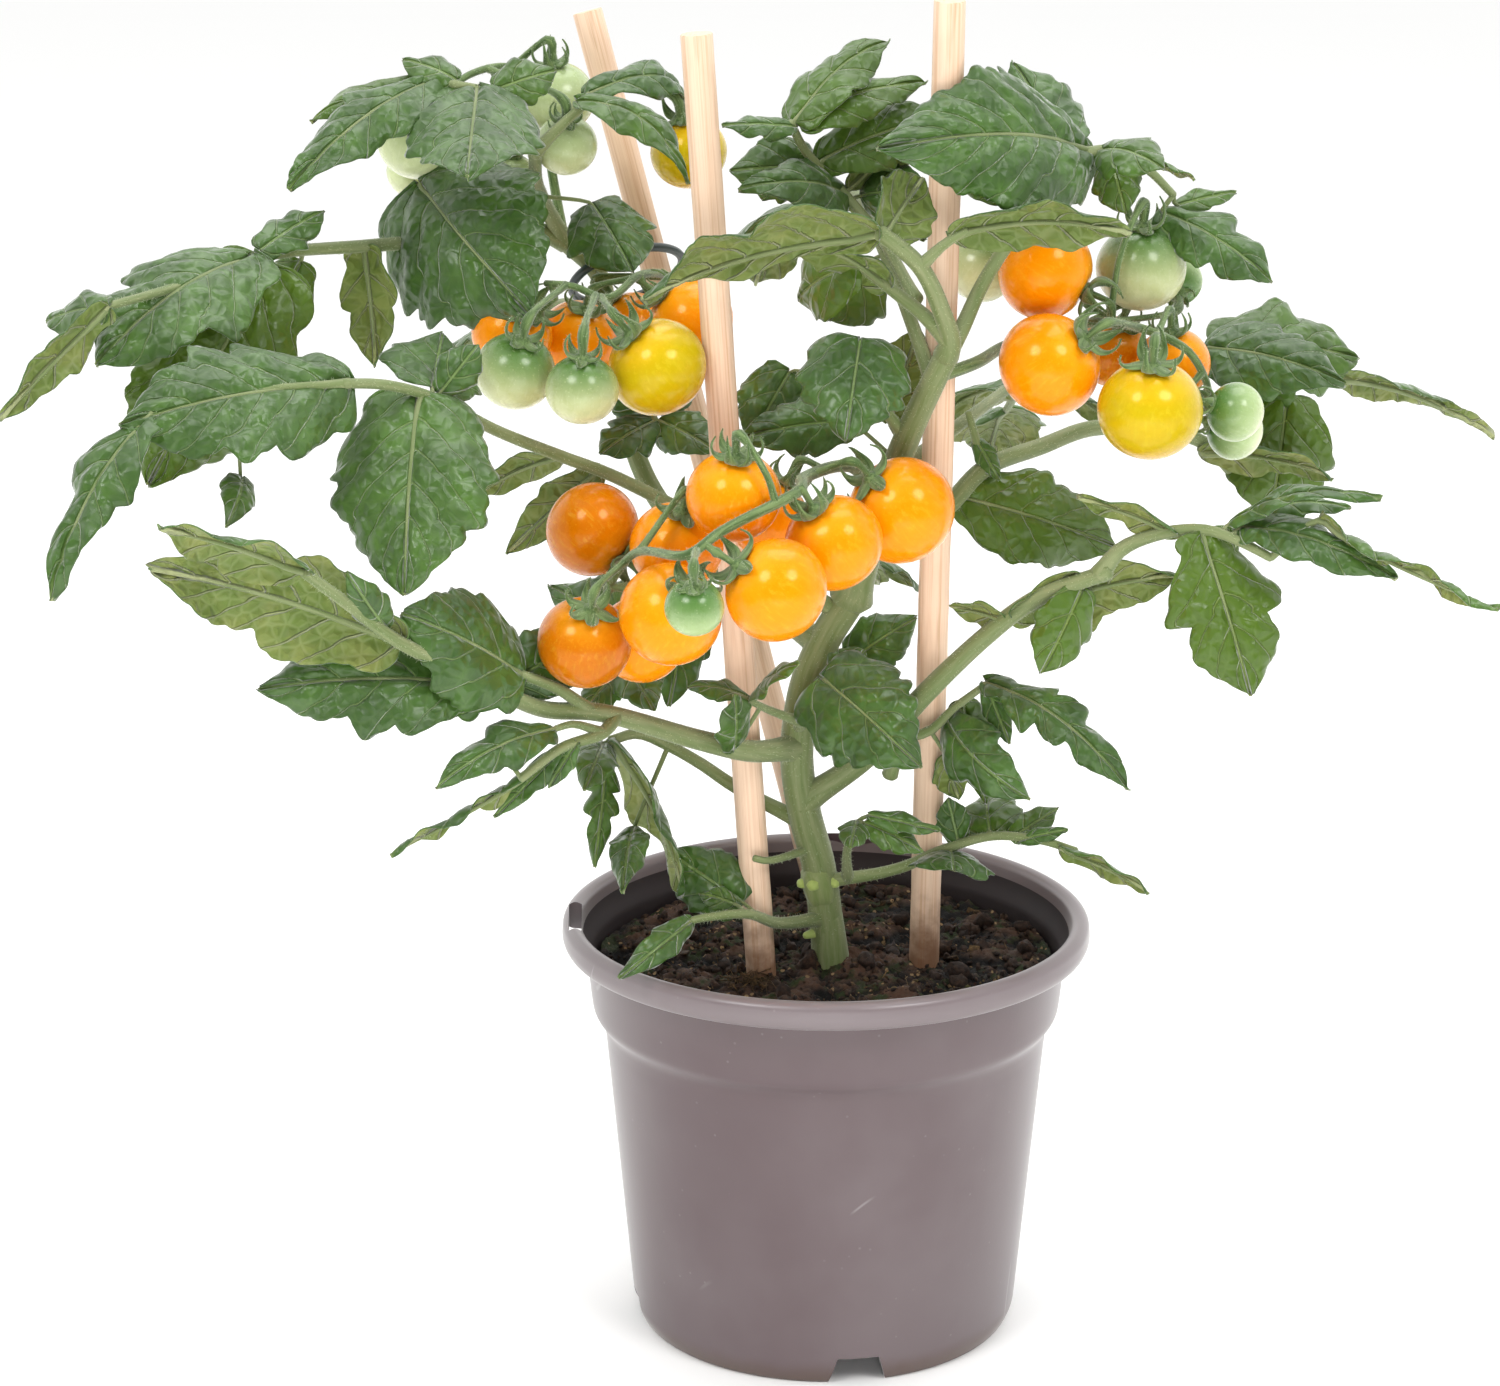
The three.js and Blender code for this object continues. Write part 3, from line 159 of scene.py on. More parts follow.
# Leaves. Stalks: first and last radius, route. Blades: base, tip, [bearing, rise] that the upper face looks
# to, width over length, outline, and how far the rib arches up over its length.
LEAVES = {
    "low_left": {"stalks": [
        [3.0, 1.3, [[-9, -21, 163], [-20, -30, 166], [-33, -40, 172], [-57, -60, 185], [-71, -70, 189],
            [-87, -82, 201], [-102, -94, 212], [-113, -104, 224], [-122, -110, 233]]],
        [1.6, 1.2, [[-59, -62, 186], [-66, -68, 193], [-75, -72, 198]]],
        [1.6, 1.1, [[-53, -58, 182], [-56, -64, 181], [-66, -74, 180], [-75, -82, 175]]],
        [1.1, 0.8, [[-56, -64, 181], [-63, -70, 185], [-67, -74, 185]]],
    ], "blades": [
        [[-122, -110, 233], [-151, -134, 249], [177, 43], 0.46, "lobed", 0.04],
        [[-102, -91, 211], [-157, -111, 234], [174, 4], 0.46, "lobed", 0.08],
        [[-84, -78, 197], [-136, -92, 200], [0, 40], 0.56, "quad", 0.1],
        [[-75, -72, 198], [-102, -90, 218], [0, 40], 0.85, "broad", 0.08],
        [[-77, -69, 196], [-60, -53, 202], [3, 21], 0.8, "broad", 0.07],
        [[-105, -96, 216], [-113, -105, 232], [3, 13], 0.5, "plain", 0.15],
        [[-73, -76, 175], [-106, -94, 160], [165, 54], 0.26, "narrow", -0.01],
        [[-66, -74, 180], [-82, -78, 164], [-4, 38], 0.3, "plain", -0.03],
        [[-62, -72, 181], [-69, -74, 170], [0, 30], 0.45, "plain", 0.05],
        [[-67, -74, 185], [-95, -90, 175], [0, 45], 0.42, "lobed", 0.16],
        [[-82, -81, 184], [-92, -84, 174], [1, 30], 0.3, "narrow", 0.02],
    ]},
    "hanging": {"stalks": [
        [2.0, 1.3, [[-11, -11, 139], [-24, -6, 149], [-33, -5, 155], [-41, -6, 160], [-49, -8, 164],
            [-56, -14, 164]]],
    ], "blades": [
        [[-56, -13, 164], [-37, -25, 125], [113, 11], 0.52, "lobed", 0.07],
        [[-57, -14, 162], [-60, -30, 135], [9, 9], 0.32, "narrow", 0.08],
        [[-58, -13, 163], [-62, -38, 158], [-1, 10], 0.5, "plain", 0.13],
        [[-50, -17, 142], [-52, -48, 134], [-4, 10], 0.35, "plain", 0.11],
    ]},
    "over_soil": {"stalks": [
        [1.9, 1.0, [[-4, -10, 112], [-13, -22, 117], [-21, -32, 123], [-32, -38, 124], [-35, -40, 124]]],
    ], "blades": [
        [[-35, -40, 124], [-53, -58, 115], [20, 30], 0.34, "plain", 0.12],
        [[-22, -23, 123], [-42, -14, 134], [4, 22], 0.8, "broad", 0.07],
        [[-24, -27, 124], [-33, -22, 125], [21, 24], 0.7, "plain", 0.12],
    ]},
    "mid_left": {"stalks": [
        [2.0, 1.2, [[4, -7, 195], [-21, -9, 214], [-53, -18, 234], [-67, -28, 242], [-82, -44, 252],
            [-96, -62, 264], [-106, -72, 269], [-115, -80, 271]]],
        [1.0, 0.8, [[-114, -79, 270], [-138, -90, 271], [-157, -99, 268]]],
    ], "blades": [
        [[-114, -76, 270], [-164, -103, 266], [-8, 40], 0.68, "quad", 0.07],
        [[-157, -99, 268], [-178, -124, 230], [-25, 35], 0.36, "lobed", 0.12],
        [[-99, -64, 265], [-101, -92, 223], [-5, 25], 0.84, "broad", 0.08],
        [[-96, -60, 266], [-95, -39, 275], [17, 23], 1.2, "plain", -0.01],
        [[-94, -61, 265], [-85, -58, 276], [22, 29], 0.8, "plain", 0.09],
        [[-139, -86, 250], [-140, -107, 243], [155, 42], 0.45, "plain", 0.15],
        [[-58, -20, 237], [-82, -16, 214], [150, 20], 0.4, "plain", 0.1],
        [[-67, -28, 242], [-91, -20, 229], [170, 30], 0.35, "plain", 0.1],
    ]},
    "far_left": {"stalks": [
        [2.2, 1.0, [[-70, 43, 286], [-79, 36, 289], [-100, 16, 289], [-117, -6, 291], [-133, -26, 293],
            [-141, -38, 293], [-156, -58, 290], [-169, -78, 289]]],
    ], "blades": [
        [[-141, -40, 294], [-173, -78, 275], [-15, 45], 0.74, "lobed", 0.1],
        [[-169, -79, 289], [-192, -98, 266], [174, 36], 0.34, "lobed", 0.03],
        [[-169, -79, 289], [-186, -67, 283], [-14, 42], 0.6, "plain", 0.08],
        [[-137, -36, 291], [-166, -54, 241], [5, 10], 0.74, "lobed", 0.06],
        [[-139, -36, 295], [-125, -20, 302], [20, 50], 0.6, "lobed", 0.06],
        [[-117, -6, 291], [-114, -15, 262], [170, 10], 0.55, "lobed", 0.06],
        [[-131, -22, 290], [-143, -10, 267], [10, 20], 0.6, "plain", 0.1],
    ]},
    "top_left": {"stalks": [
        [2.2, 1.2, [[-71, 43, 288], [-73, 35, 294], [-75, 21, 303], [-75, 9, 313], [-79, 4, 322],
            [-84, 0, 328], [-94, -3, 331]]],
        [1.5, 1.1, [[-75, 10, 312], [-68, 9, 319], [-61, 11, 325]]],
    ], "blades": [
        [[-88, -2, 330], [-88, -43, 314], [5, 42], 0.84, "broad", 0.02],
        [[-97, 2, 332], [-132, -32, 309], [-20, 42], 0.42, "lobed", 0.1],
        [[-98, 6, 331], [-129, -10, 323], [-24, 60], 0.4, "plain", 0.08],
        [[-93, -2, 332], [-107, 5, 336], [20, 38], 0.7, "plain", 0.08],
        [[-84, 1, 329], [-69, 8, 333], [20, 30], 0.8, "plain", 0.08],
        [[-64, 10, 325], [-35, -1, 306], [48, 22], 0.4, "plain", 0.23],
        [[-62, 14, 326], [-36, 44, 317], [44, 55], 0.34, "plain", 0.25],
        [[-104, 12, 304], [-74, -21, 276], [-12, 15], 0.98, "broad", 0.1],
        [[-61, 26, 297], [-50, 8, 282], [10, 30], 1.0, "lobed", 0.06],
    ]},
    "low_right": {"stalks": [
        [1.7, 1.0, [[0, -8, 123], [4, -10, 125], [11, -10, 126], [20, -12, 129], [30, -16, 135],
            [42, -20, 140], [54, -26, 141], [63, -32, 140]]],
        [1.3, 0.9, [[5, -12, 126], [5, -20, 136], [7, -30, 147]]],
    ], "blades": [
        [[59, -30, 140], [81, -42, 132], [165, 45], 0.42, "lobed", 0.05],
        [[32, -17, 135], [32, -30, 134], [5, 35], 1.8, "plain", 0.06],
        [[34, -17, 137], [31, -16, 149], [-3, 22], 0.8, "plain", 0.04],
        [[42, -19, 140], [42, -1, 145], [-10, 26], 1, "plain", 0.12],
        [[47, -22, 140], [60, -12, 145], [0, 30], 0.5, "plain", 0.05],
        [[49, -24, 140], [61, -30, 145], [0, 40], 0.35, "plain", 0.05],
        [[7, -31, 148], [5, -45, 145], [4, 35], 0.6, "plain", 0.06],
        [[9, -33, 148], [24, -36, 141], [7, 49], 0.62, "lobed", 0.05],
        [[10, -33, 150], [28, -37, 147], [2, 45], 0.36, "plain", 0.02],
    ]},
    "narrow_right": {"stalks": [
        [1.6, 0.9, [[16, -15, 155], [18, -16, 161], [21, -18, 166], [26, -19, 168], [32, -19, 174],
            [40, -21, 181]]],
    ], "blades": [
        [[40, -20, 181], [75, -40, 159], [6, 43], 0.36, "narrow", 0.2],
        [[40, -21, 181], [46, -27, 167], [2, 24], 0.45, "plain", -0.01],
        [[34, -18, 176], [41, -10, 146], [-10, 8], 0.45, "plain", 0.02],
        [[30, -16, 171], [51, -33, 154], [-34, 16], 0.6, "lobed", 0.23],
        [[30, -16, 161], [34, -14, 148], [193, 3], 0.8, "plain", 0.13],
    ]},
    "mid_right": {"stalks": [
        [3.2, 2.0, [[-2, -12, 148], [10, -21, 162], [24, -27, 180], [39, -33, 197], [51, -38, 208],
            [68, -46, 217]]],
        [1.9, 1.1, [[66, -45, 216], [71, -44, 222], [80, -48, 227], [91, -52, 229], [99, -56, 227],
            [106, -60, 224]]],
    ], "blades": [
        [[45, -36, 203], [86, -42, 215], [175, 31], 0.5, "lobed", 0.07],
        [[44, -36, 202], [30, -30, 204], [170, 35], 0.7, "plain", 0.05],
        [[62, -43, 212], [52, -46, 191], [10, 10], 0.7, "plain", 0.05],
        [[85, -50, 227], [60, -44, 235], [175, 40], 0.36, "plain", 0.05],
        [[90, -52, 228], [102, -62, 190], [5, 12], 0.74, "twin", 0.06],
        [[99, -53, 230], [134, -74, 222], [2, 54], 0.4, "lobed", 0.11],
        [[106, -47, 233], [126, -51, 234], [-10, 62], 0.5, "lobed", 0.11],
        [[117, -62, 234], [154, -100, 222], [168, 51], 0.18, "narrow", -0.02],
        [[96, -52, 230], [131, -66, 240], [15, 70], 0.25, "plain", 0.14],
    ]},
    "high_right": {"stalks": [
        [2.6, 1.8, [[10, -10, 212], [20, -7, 218], [30, -3, 223], [40, 6, 231], [56, 20, 234],
            [72, 34, 236], [101, 50, 229], [112, 56, 218]]],
        [1.6, 1.0, [[87, 42, 234], [95, 48, 241], [101, 54, 248], [107, 58, 252], [132, 64, 245]]],
        [1.3, 0.9, [[41, 6, 231], [38, 7, 239], [36, 6, 246]]],
    ], "blades": [
        [[33, 2, 225], [75, 8, 210], [1, 26], 0.6, "plain", 0.09],
        [[101, 48, 226], [136, 40, 221], [175, 40], 0.4, "plain", 0.08],
        [[111, 56, 220], [128, 74, 237], [0, 20], 0.9, "broad", 0.05],
        [[125, 57, 240], [121, 50, 207], [0, 12], 0.95, "plain", 0.05],
        [[102, 57, 253], [138, 37, 247], [4, 39], 0.62, "broad", 0.11],
        [[105, 61, 252], [146, 72, 247], [-5, 38], 0.8, "lobed", 0.12],
        [[132, 64, 243], [190, 100, 219], [170, 45], 0.14, "plain", 0.08],
        [[38, 7, 239], [44, 2, 229], [0, 20], 0.5, "plain", 0.05],
    ]},
    "top_right": {"stalks": [
        [2.1, 1.3, [[28, -31, 265], [32, -28, 274], [36, -24, 282], [40, -26, 290], [47, -24, 300],
            [54, -14, 308], [63, -12, 315]]],
        [1.4, 1.0, [[63, -12, 315], [70, -6, 315], [80, 2, 309], [87, 6, 302]]],
    ], "blades": [
        [[64, -9, 315], [10, -47, 321], [24, 30], 0.62, "broad", 0.16],
        [[58, -11, 318], [46, 8, 335], [6, 43], 0.8, "broad", 0.01],
        [[66, -8, 315], [81, -26, 313], [0, 45], 0.75, "plain", 0.14],
        [[78, 0, 312], [90, -14, 309], [170, 50], 0.4, "plain", 0.05],
        [[70, 0, 313], [74, -4, 299], [0, 10], 0.9, "plain", 0.05],
        [[84, 4, 298], [111, -7, 282], [8, 45], 0.62, "lobed", 0.1],
        [[88, 8, 299], [104, 16, 301], [0, 40], 0.4, "plain", 0.05],
        [[58, 6, 310], [34, 20, 301], [0, 20], 0.6, "lobed", 0.05],
    ]},
    "centre_top": {"stalks": [
        [2.4, 2.0, [[29, -33, 269], [29, -34, 272], [27, -37, 279], [21, -42, 292], [11, -46, 301]]],
        [1.9, 1.3, [[29, -34, 272], [22, -34, 279], [14, -32, 285], [6, -30, 291]]],
        [1.4, 1.0, [[21, -42, 292], [27, -44, 298], [32, -44, 301]]],
    ], "blades": [
        [[11, -46, 300], [-46, -54, 286], [175, 38], 0.64, "sickle", 0.08],
        [[12, -46, 300], [22, -32, 312], [178, 15], 0.95, "plain", 0.05],
        [[28, -44, 300], [71, -50, 301], [180, 42], 0.44, "plain", 0.1],
        [[14, -32, 285], [-15, -44, 298], [163, 51], 0.5, "plain", 0.13],
        [[6, -30, 291], [-8, -10, 278], [0, 30], 0.8, "plain", 0.1],
    ]},
    "crown": {"stalks": [
        [1.5, 1.1, [[21, -20, 280], [13, 0, 292], [2, 9, 304], [-6, 6, 313], [-10, 1, 321]]],
    ], "blades": [
        [[-9, 2, 321], [15, 20, 339], [-35, 38], 0.56, "broad", 0.12],
        [[-8, 3, 321], [24, 13, 329], [0, 50], 0.5, "broad", 0.12],
        [[-9, 0, 320], [-27, -6, 321], [0, 50], 0.5, "lobed", 0.05],
        [[-3, 9, 310], [30, 12, 321], [5, 35], 0.56, "plain", 0.12],
        [[5, 10, 303], [28, 2, 318], [170, 55], 0.45, "plain", 0.12],
        [[5, 11, 301], [-23, -11, 306], [-1, 38], 0.5, "broad", 0.14],
        [[8, 12, 301], [25, 4, 304], [0, 20], 0.9, "plain", 0.1],
        [[-4, 9, 309], [-25, 7, 308], [-7, 20], 0.9, "broad", 0.07],
    ]},
    "centre_inner": {"stalks": [
        [1.5, 0.8, [[-7, -13, 167], [-7, -21, 171], [-4, -24, 178], [0, -26, 181]]],
        [1.2, 0.8, [[-7, -21, 171], [-15, -31, 177], [-20, -40, 182], [-24, -42, 184]]],
    ], "blades": [
        [[-2, -25, 184], [23, -41, 165], [0, 23], 0.9, "heart", 0.12],
        [[1, -24, 180], [9, -17, 189], [11, 25], 1, "plain", 0.13],
        [[6, -5, 183], [23, 0, 193], [1, 26], 0.8, "broad", 0.15],
        [[-20, -38, 182], [-8, -52, 195], [0, 60], 0.5, "plain", 0.08],
        [[-20, -37, 182], [-36, -34, 184], [16, 65], 0.55, "plain", 0.11],
        [[-24, -38, 169], [-24, -51, 187], [20, 30], 0.55, "plain", 0.04],
    ]},
}

# Blades whose tone is known: number of the blade and its tone, from -1, in deep shade, to 1, lit through
TONES = {
    "centre_top": {1: -0.7, 2: -0.8, 3: -0.7, 4: 0.8},
    "far_left": {3: 0.85, 5: 0.5, 6: 0.7},
    "mid_right": {2: 0.7, 4: 0.85},
    "high_right": {0: 0.75, 2: 0.5, 3: 0.85, 5: 0.35},
    "crown": {0: 0.45, 1: 0.5, 3: 0.5},
    "top_left": {2: 0.5},
    "centre_low": {2: 0.8, 3: 0.7},
    "low_right": {3: 0.5, 4: 0.5},
    "narrow_right": {2: 0.5},
    "top_right": {4: 0.5, 7: 0.5},
    "centre_inner": {3: 0.6},
}

# Small leaves that are one piece with the stem
STEM_LEAVES = {
    "centre_low": {"stalks": [
        [1.5, 1.0, [[19, -25, 246], [12, -28, 256], [7, -34, 271]]],
    ], "blades": [
        [[7, -34, 273], [3, -52, 251], [0, 30], 1.05, "heart", 0.08],
        [[5, -10, 247], [-23, -18, 244], [-1, 38], 0.6, "broad", 0.09],
        [[10, 0, 286], [0, 0, 271], [0, 10], 1.3, "plain", 0.05],
        [[15, -10, 247], [23, 0, 269], [170, 15], 0.7, "plain", 0.05],
        [[-10, 0, 258], [-20, -6, 241], [0, 30], 1, "broad", 0.05],
    ]},
    "inner_left": {"stalks": [
        [1.5, 1.0, [[-56, 46, 256], [-49, 36, 246], [-45, 24, 240]]],
    ], "blades": [
        [[-46, 29, 243], [-57, 22, 249], [-21, 14], 1, "broad", 0.09],
        [[-45, 24, 240], [-59, 11, 234], [-5, 42], 0.8, "lobed", 0.07],
        [[-44, 25, 240], [-29, 14, 234], [10, 31], 0.8, "broad", 0.08],
        [[-46, 26, 245], [-33, 30, 250], [10, 20], 0.9, "broad", 0.05],
    ]},
    "inner_low": {"stalks": [
        [1.5, 1.0, [[-15, 4, 195], [-33, 2, 197], [-48, -10, 192], [-54, -24, 186]]],
    ], "blades": [
        [[-48, -10, 192], [-72, 6, 200], [-10, 25], 0.7, "broad", 0.08],
        [[-54, -24, 185], [-62, -34, 178], [0, 35], 0.8, "broad", 0.08],
        [[-52, -22, 186], [-44, -38, 179], [10, 35], 0.7, "broad", 0.08],
        [[-36, 4, 197], [-41, -10, 172], [5, 20], 0.6, "lobed", 0.05],
    ]},
}

# Blade outlines: teeth a side, depth of the notches, drop of each half in degrees, place of the widest part
OUTLINES = {
    "plain": [2, 0.13, 12, 0.42],
    "broad": [3, 0.13, 12, 0.36],
    "lobed": [2, 0.28, 14, 0.38],
    "quad": [3, 0.28, 12, 0.4],
    "twin": [2, 0.36, 10, 0.4],
    "narrow": [3, 0.45, 12, 0.42],
    "heart": [1, 0.06, 12, 0.3],
    "sickle": [2, 0.24, 14, 0.4],
}
SICKLE_RIGHT = 0.3  # width of a sickle's right half over its left
TEETH_FROM = 0.14
TEETH_TO = 0.8
TOOTH_PEAK = 0.72
SCALLOP_PITCH = 6
VEIN_PITCH = 8.5
NET_PITCH = 5.5  # of the small pillows across a blade, between its side veins
QUILTED_LENGTH = 55  # length of a blade whose relief has a scale of one

# Leaves at the back: first and last radius, blade length, route
BACK_LEAVES = [
    [1.9, 1.1, 46, [[-57, 46, 256], [-70, 74, 262], [-84, 96, 252]]],
    [1.9, 1.1, 44, [[-14, 5, 195], [-2, 44, 200], [4, 84, 186]]],
    [1.9, 1.1, 44, [[16, -20, 236], [40, 20, 244], [54, 60, 244], [52, 96, 228]]],
    [1.8, 1.0, 44, [[24, -29, 262], [14, 0, 288], [6, 40, 298], [-8, 84, 280]]],
]

# Pot wall in millimetres, foot to lip outside and back down inside: radius, height, rounding of the corner
POT_OUTSIDE = [
    [0, 7.8, 0], [47.4, 7.8, 0.6], [48, 0, 0.5], [49.8, 0, 0.8], [51.5, 3.5, 3], [58.6, 80.5, 1.5],
    [59.3, 84, 1.6], [61.8, 87, 1.5], [62.3, 90.5, 2], [63.6, 103.4, 1.0], [65.2, 104.6, 0.8],
    [69, 105, 1.8], [70, 107.4, 2.6], [69.6, 111.2, 2.6], [67.4, 112.5, 2.6], [65, 111.4, 1.8],
]
POT_INSIDE = [
    [64, 106, 2], [62.1, 102, 1], [60.6, 89.5, 2], [57.8, 84, 2], [57.1, 80.5, 2], [50.2, 9.3, 1.4],
    [0, 9.3, 0],
]
CORNER_POINTS = 5
POT_FLOOR = 9.3
# The pot's faces that look up below the first height, or inward below the second, have the darker inside
# colour.
# Of the others, the ones above the third have the lip's plastic, which is painted a little lighter as a
# painted highlight.
FLOOR_BELOW = 12
INSIDE_BELOW = 108
LIP_FROM = 104.8
FOOT_NOTCH = {"count": 4, "first": 9, "bottom": 19.5, "top": 11, "height": 7.5, "depth": 12, "circle": 50}
DRAIN_HOLE = {"count": 4, "radius": 4, "circle": 30, "depth": 8}
HANGER_SLOT = {
    "bearings": [-88, 172], "length": 21, "width": 3.4, "height": 14, "circle": 66.4, "middle": 108,
}
# The soil: wall of the bed from its floor to under its surface, and the crumbs strewn on it
SOIL_LEVEL = 99
SOIL_RADIUS = 61
SOIL_WALL = [(0, 9.8), (49.2, 9.8), (55.8, 77), (56.5, 80.6), (59.2, 86), (60.6, SOIL_LEVEL - 2.5)]
SOIL_RINGS = 90
SOIL_SEGMENTS = 300
MOSSY_SPOT = (36, -26, 11)  # place and spread of the mossy crumbs
FIBRES = 240
TUFT_FIBRES = 110  # of these, the ones at the left stake's foot
# The main stem's flared foot and the knob of its lowest leaf scars, then the buds on it: from, to and radius
STEM_FOOT = [[1.6, -4.3, 88], [1.2, -4.8, 97], [0.9, -5.6, 104], [0.2, -6.5, 114]]
SCAR_LINE = [[-1.3, -7.5, 119], [-1.6, -8, 121], [-2, -8.4, 123], [-2.4, -8.9, 125], [-2.9, -9.3, 127]]
SCAR_RADII = [4.0, 4.35, 4.5, 4.4, 3.9]
BUDS = [
    [[-2, -8, 123], [-4, -13.0, 124], 2.4],
    [[-2, -8, 122], [-7.2, -9.6, 123.5], 1.9],
    [[-1, -8, 123], [2.6, -11.2, 124], 1.9],
    [[0, -6, 108], [-5.6, -9.5, 109], 1.5],
    [[-6, -12, 146], [-9, -15.4, 149], 1.4],
]
# A sepal's path from the fruit's stalk end: how far out, how high, for a raised one and what a low one adds
CALYX_CLAW = [[0.6, 0.3], [2.6, 0.2], [4.5, 1.3], [5.4, 3.8], [5.0, 6.4], [3.7, 8.2]]
CALYX_FLAT = [[0, 0], [0.2, -0.2], [0.9, -1.3], [2.0, -2.2], [3.8, -1.9], [5.6, 0.0]]
# Shares of a fruit's radius, and the knuckle of its stalk: how far it is off the fruit, and how far a stalk
# goes round a fruit that it would pass nearer than the last distance
SQUAT = 0.94
FRUIT_LOBES = {"count": 5, "depth": 0.012}
FRUIT_DIMPLE = {"depth": 0.1, "width": 0.26}
FRUIT_POINT = {"height": 0.018, "width": 0.1}
KNUCKLE = {"off_fruit": 6, "round_fruit": 3.5, "clear_of_fruit": 2}
SMALL_FRUIT = 8  # green fruits under this radius are a deeper green
JOIN_WITHIN = 9  # a stalk that starts nearer to its wood than this is joined to it
STALK_STEP = 2.6
STALK_SWELLING = 5
HAIR_RADIUS = 0.035
TRUSS_HAIR_RADIUS = 0.03

# Where these materials stand in a leaf's list, after its upper side, and in a truss's, after its sepals
UNDERSIDE = 1
STALK = 2
HAIR = 3

# In metres: where the camera stands and looks, and the place, target, width and share of power of each lamp
CAMERA_PLACE = (-0.0201, -0.9610, 0.4492)
CAMERA_TARGET = (-0.0201, 0, 0.1727)
SENSOR_WIDTH = 36
LAMPS = {
    "front_left": [(-0.78, -0.96, 1.36), (0, 0, 0.2), 0.64, 1.0],
    "front_right": [(0.78, -0.96, 1.36), (0, 0, 0.2), 0.64, 1.0],
    "overhead": [(0.1, 0.3, 1.6), (0, 0, 0.2), 1.2, 1.0],
    "low_fill": [(0.05, -1.2, 0.16), (0, 0, 0.1), 0.6, 0.75],
}
UNMIRRORED_LAMP = "low_fill"


# ---- Colours -------------------------------------------------------------------------------------------


def paint(code):
    """Linear red, green and blue from a hex colour"""
    parts = [int(code[i : i + 2], 16) / 255 for i in (0, 2, 4)]
    return tuple(p / 12.92 if p <= 0.04045 else ((p + 0.055) / 1.055) ** 2.4 for p in parts)


def colour_property(name, code, words):
    return FloatVectorProperty(
        name=name, description=words, subtype="COLOR", size=3, min=0, max=1, default=paint(code)
    )


def length_property(name, default, low, high, words):
    return FloatProperty(name=name, description=words, default=default, min=low, max=high, unit="LENGTH")


class TomatoPotSettings(bpy.types.PropertyGroup):
    """Pot, soil, stakes and clip"""

    segments: IntProperty(
        name="Segments", description="Faces round the pot", default=144, min=24, max=256
    )
    pot_colour: colour_property("Pot", "503f42", "Outside of the moulded pot")
    pot_inside: colour_property("Pot Inside", "2b2426", "Inside of the moulded pot")
    soil_colour: colour_property("Soil", "261a14", "Damp potting soil")
    fleck_colour: colour_property("Flecks", "97774c", "Bark and husk flecks in the soil")
    stake_colour: colour_property("Bamboo", "debb9d", "Split bamboo of the stakes")
    clip_colour: colour_property("Clip", "0d2420", "Plastic ring that holds the stem to the stake")
    stake_radius: length_property("Stake Radius", 4 * MM, 0.001, 0.02, "Half the thickness of a stake")
    clump_count: IntProperty(
        name="Clumps", description="Crumbs lying on the soil", default=900, min=0, max=3000
    )


class TomatoPlantSettings(bpy.types.PropertyGroup):
    """Stems and leaves"""

    stem_colour: colour_property("Stem", "6d7546", "Green wood and leaf stalks")
    young_colour: colour_property("Young Stem", "4e6a33", "Thin stalks, fruit stalks and sepals")
    hair_colour: colour_property("Hair", "cfdcb4", "Fine hair on stems and stalks")
    upper_colour: colour_property("Leaf Upper Side", "3d6121", "Upper side of a grown leaf")
    under_colour: colour_property("Leaf Underside", "7f864a", "Underside of a grown leaf")
    # painted light: the colour of blades lit through from behind, which a positive tone blends in
    glow_colour: colour_property("Young Leaf", "46600a", "Thin leaves that let the light through")
    vein_colour: colour_property("Veins", "90a663", "Ribs on the upper side")
    leaf_thickness: length_property("Leaf Thickness", 0.35 * MM, 0.0001, 0.002, "Thickness of a blade")
    hair_length: length_property("Hair Length", 1.3 * MM, 0.0002, 0.004, "Longest hair on the main stem")
    hair_density: FloatProperty(
        name="Hair Density", description="Hairs on each millimetre of stalk", default=7.0, min=0, max=30
    )


class TomatoFruitSettings(bpy.types.PropertyGroup):
    """Skin colours of the stages of ripeness, and a darker orange that is painted shade"""

    orange: colour_property("Ripe", "f08c00", "Ripe orange fruit")
    # painted shade: a darker orange for ripe fruits that sit in shade
    amber: colour_property("Shaded Ripe", "b96300", "Ripe fruit of a deeper orange")
    yellow: colour_property("Turning", "bca40c", "Fruit that is turning")
    green: colour_property("Unripe", "cacd9a", "Unripe green fruit")
    pale: colour_property("Pale", "c6cf9f", "Pale fruit that is still swelling")
    young: colour_property("Small Unripe", "a3b982", "Small deep green fruit")
    roughness: FloatProperty(
        name="Roughness", description="Roughness of the skin", default=0.27, min=0.02, max=1, subtype="FACTOR"
    )


class TomatoStageSettings(bpy.types.PropertyGroup):
    """Floor, light and camera"""

    floor_colour: colour_property("Floor", "fbfbfa", "Plain pale floor")
    surround: FloatProperty(
        name="Surround", description="Strength of the white room", default=1.0, min=0, max=5
    )
    key_power: FloatProperty(
        name="Key Power", description="Power of each front light", default=10, min=0, max=500
    )
    focal_length: FloatProperty(
        name="Focal Length", description="Focal length of the camera in millimetres", default=92.04,
        min=10, max=300,
    )


# ---- Curves and frames -----------------------------------------------------------------------------------


def unit(vectors):
    """Vectors brought to length one"""
    vectors = np.asarray(vectors, float)
    length = np.linalg.norm(vectors, axis=-1, keepdims=True)
    return vectors / np.maximum(length, 1e-12)


def facing_vector(facing):
    """A direction from its bearing and rise in degrees, or a vector as it is"""
    if len(facing) == 3:
        return unit(facing)
    turn, lift = (math.radians(angle) for angle in facing)
    return np.array([math.sin(turn) * math.cos(lift), -math.cos(turn) * math.cos(lift), math.sin(lift)])


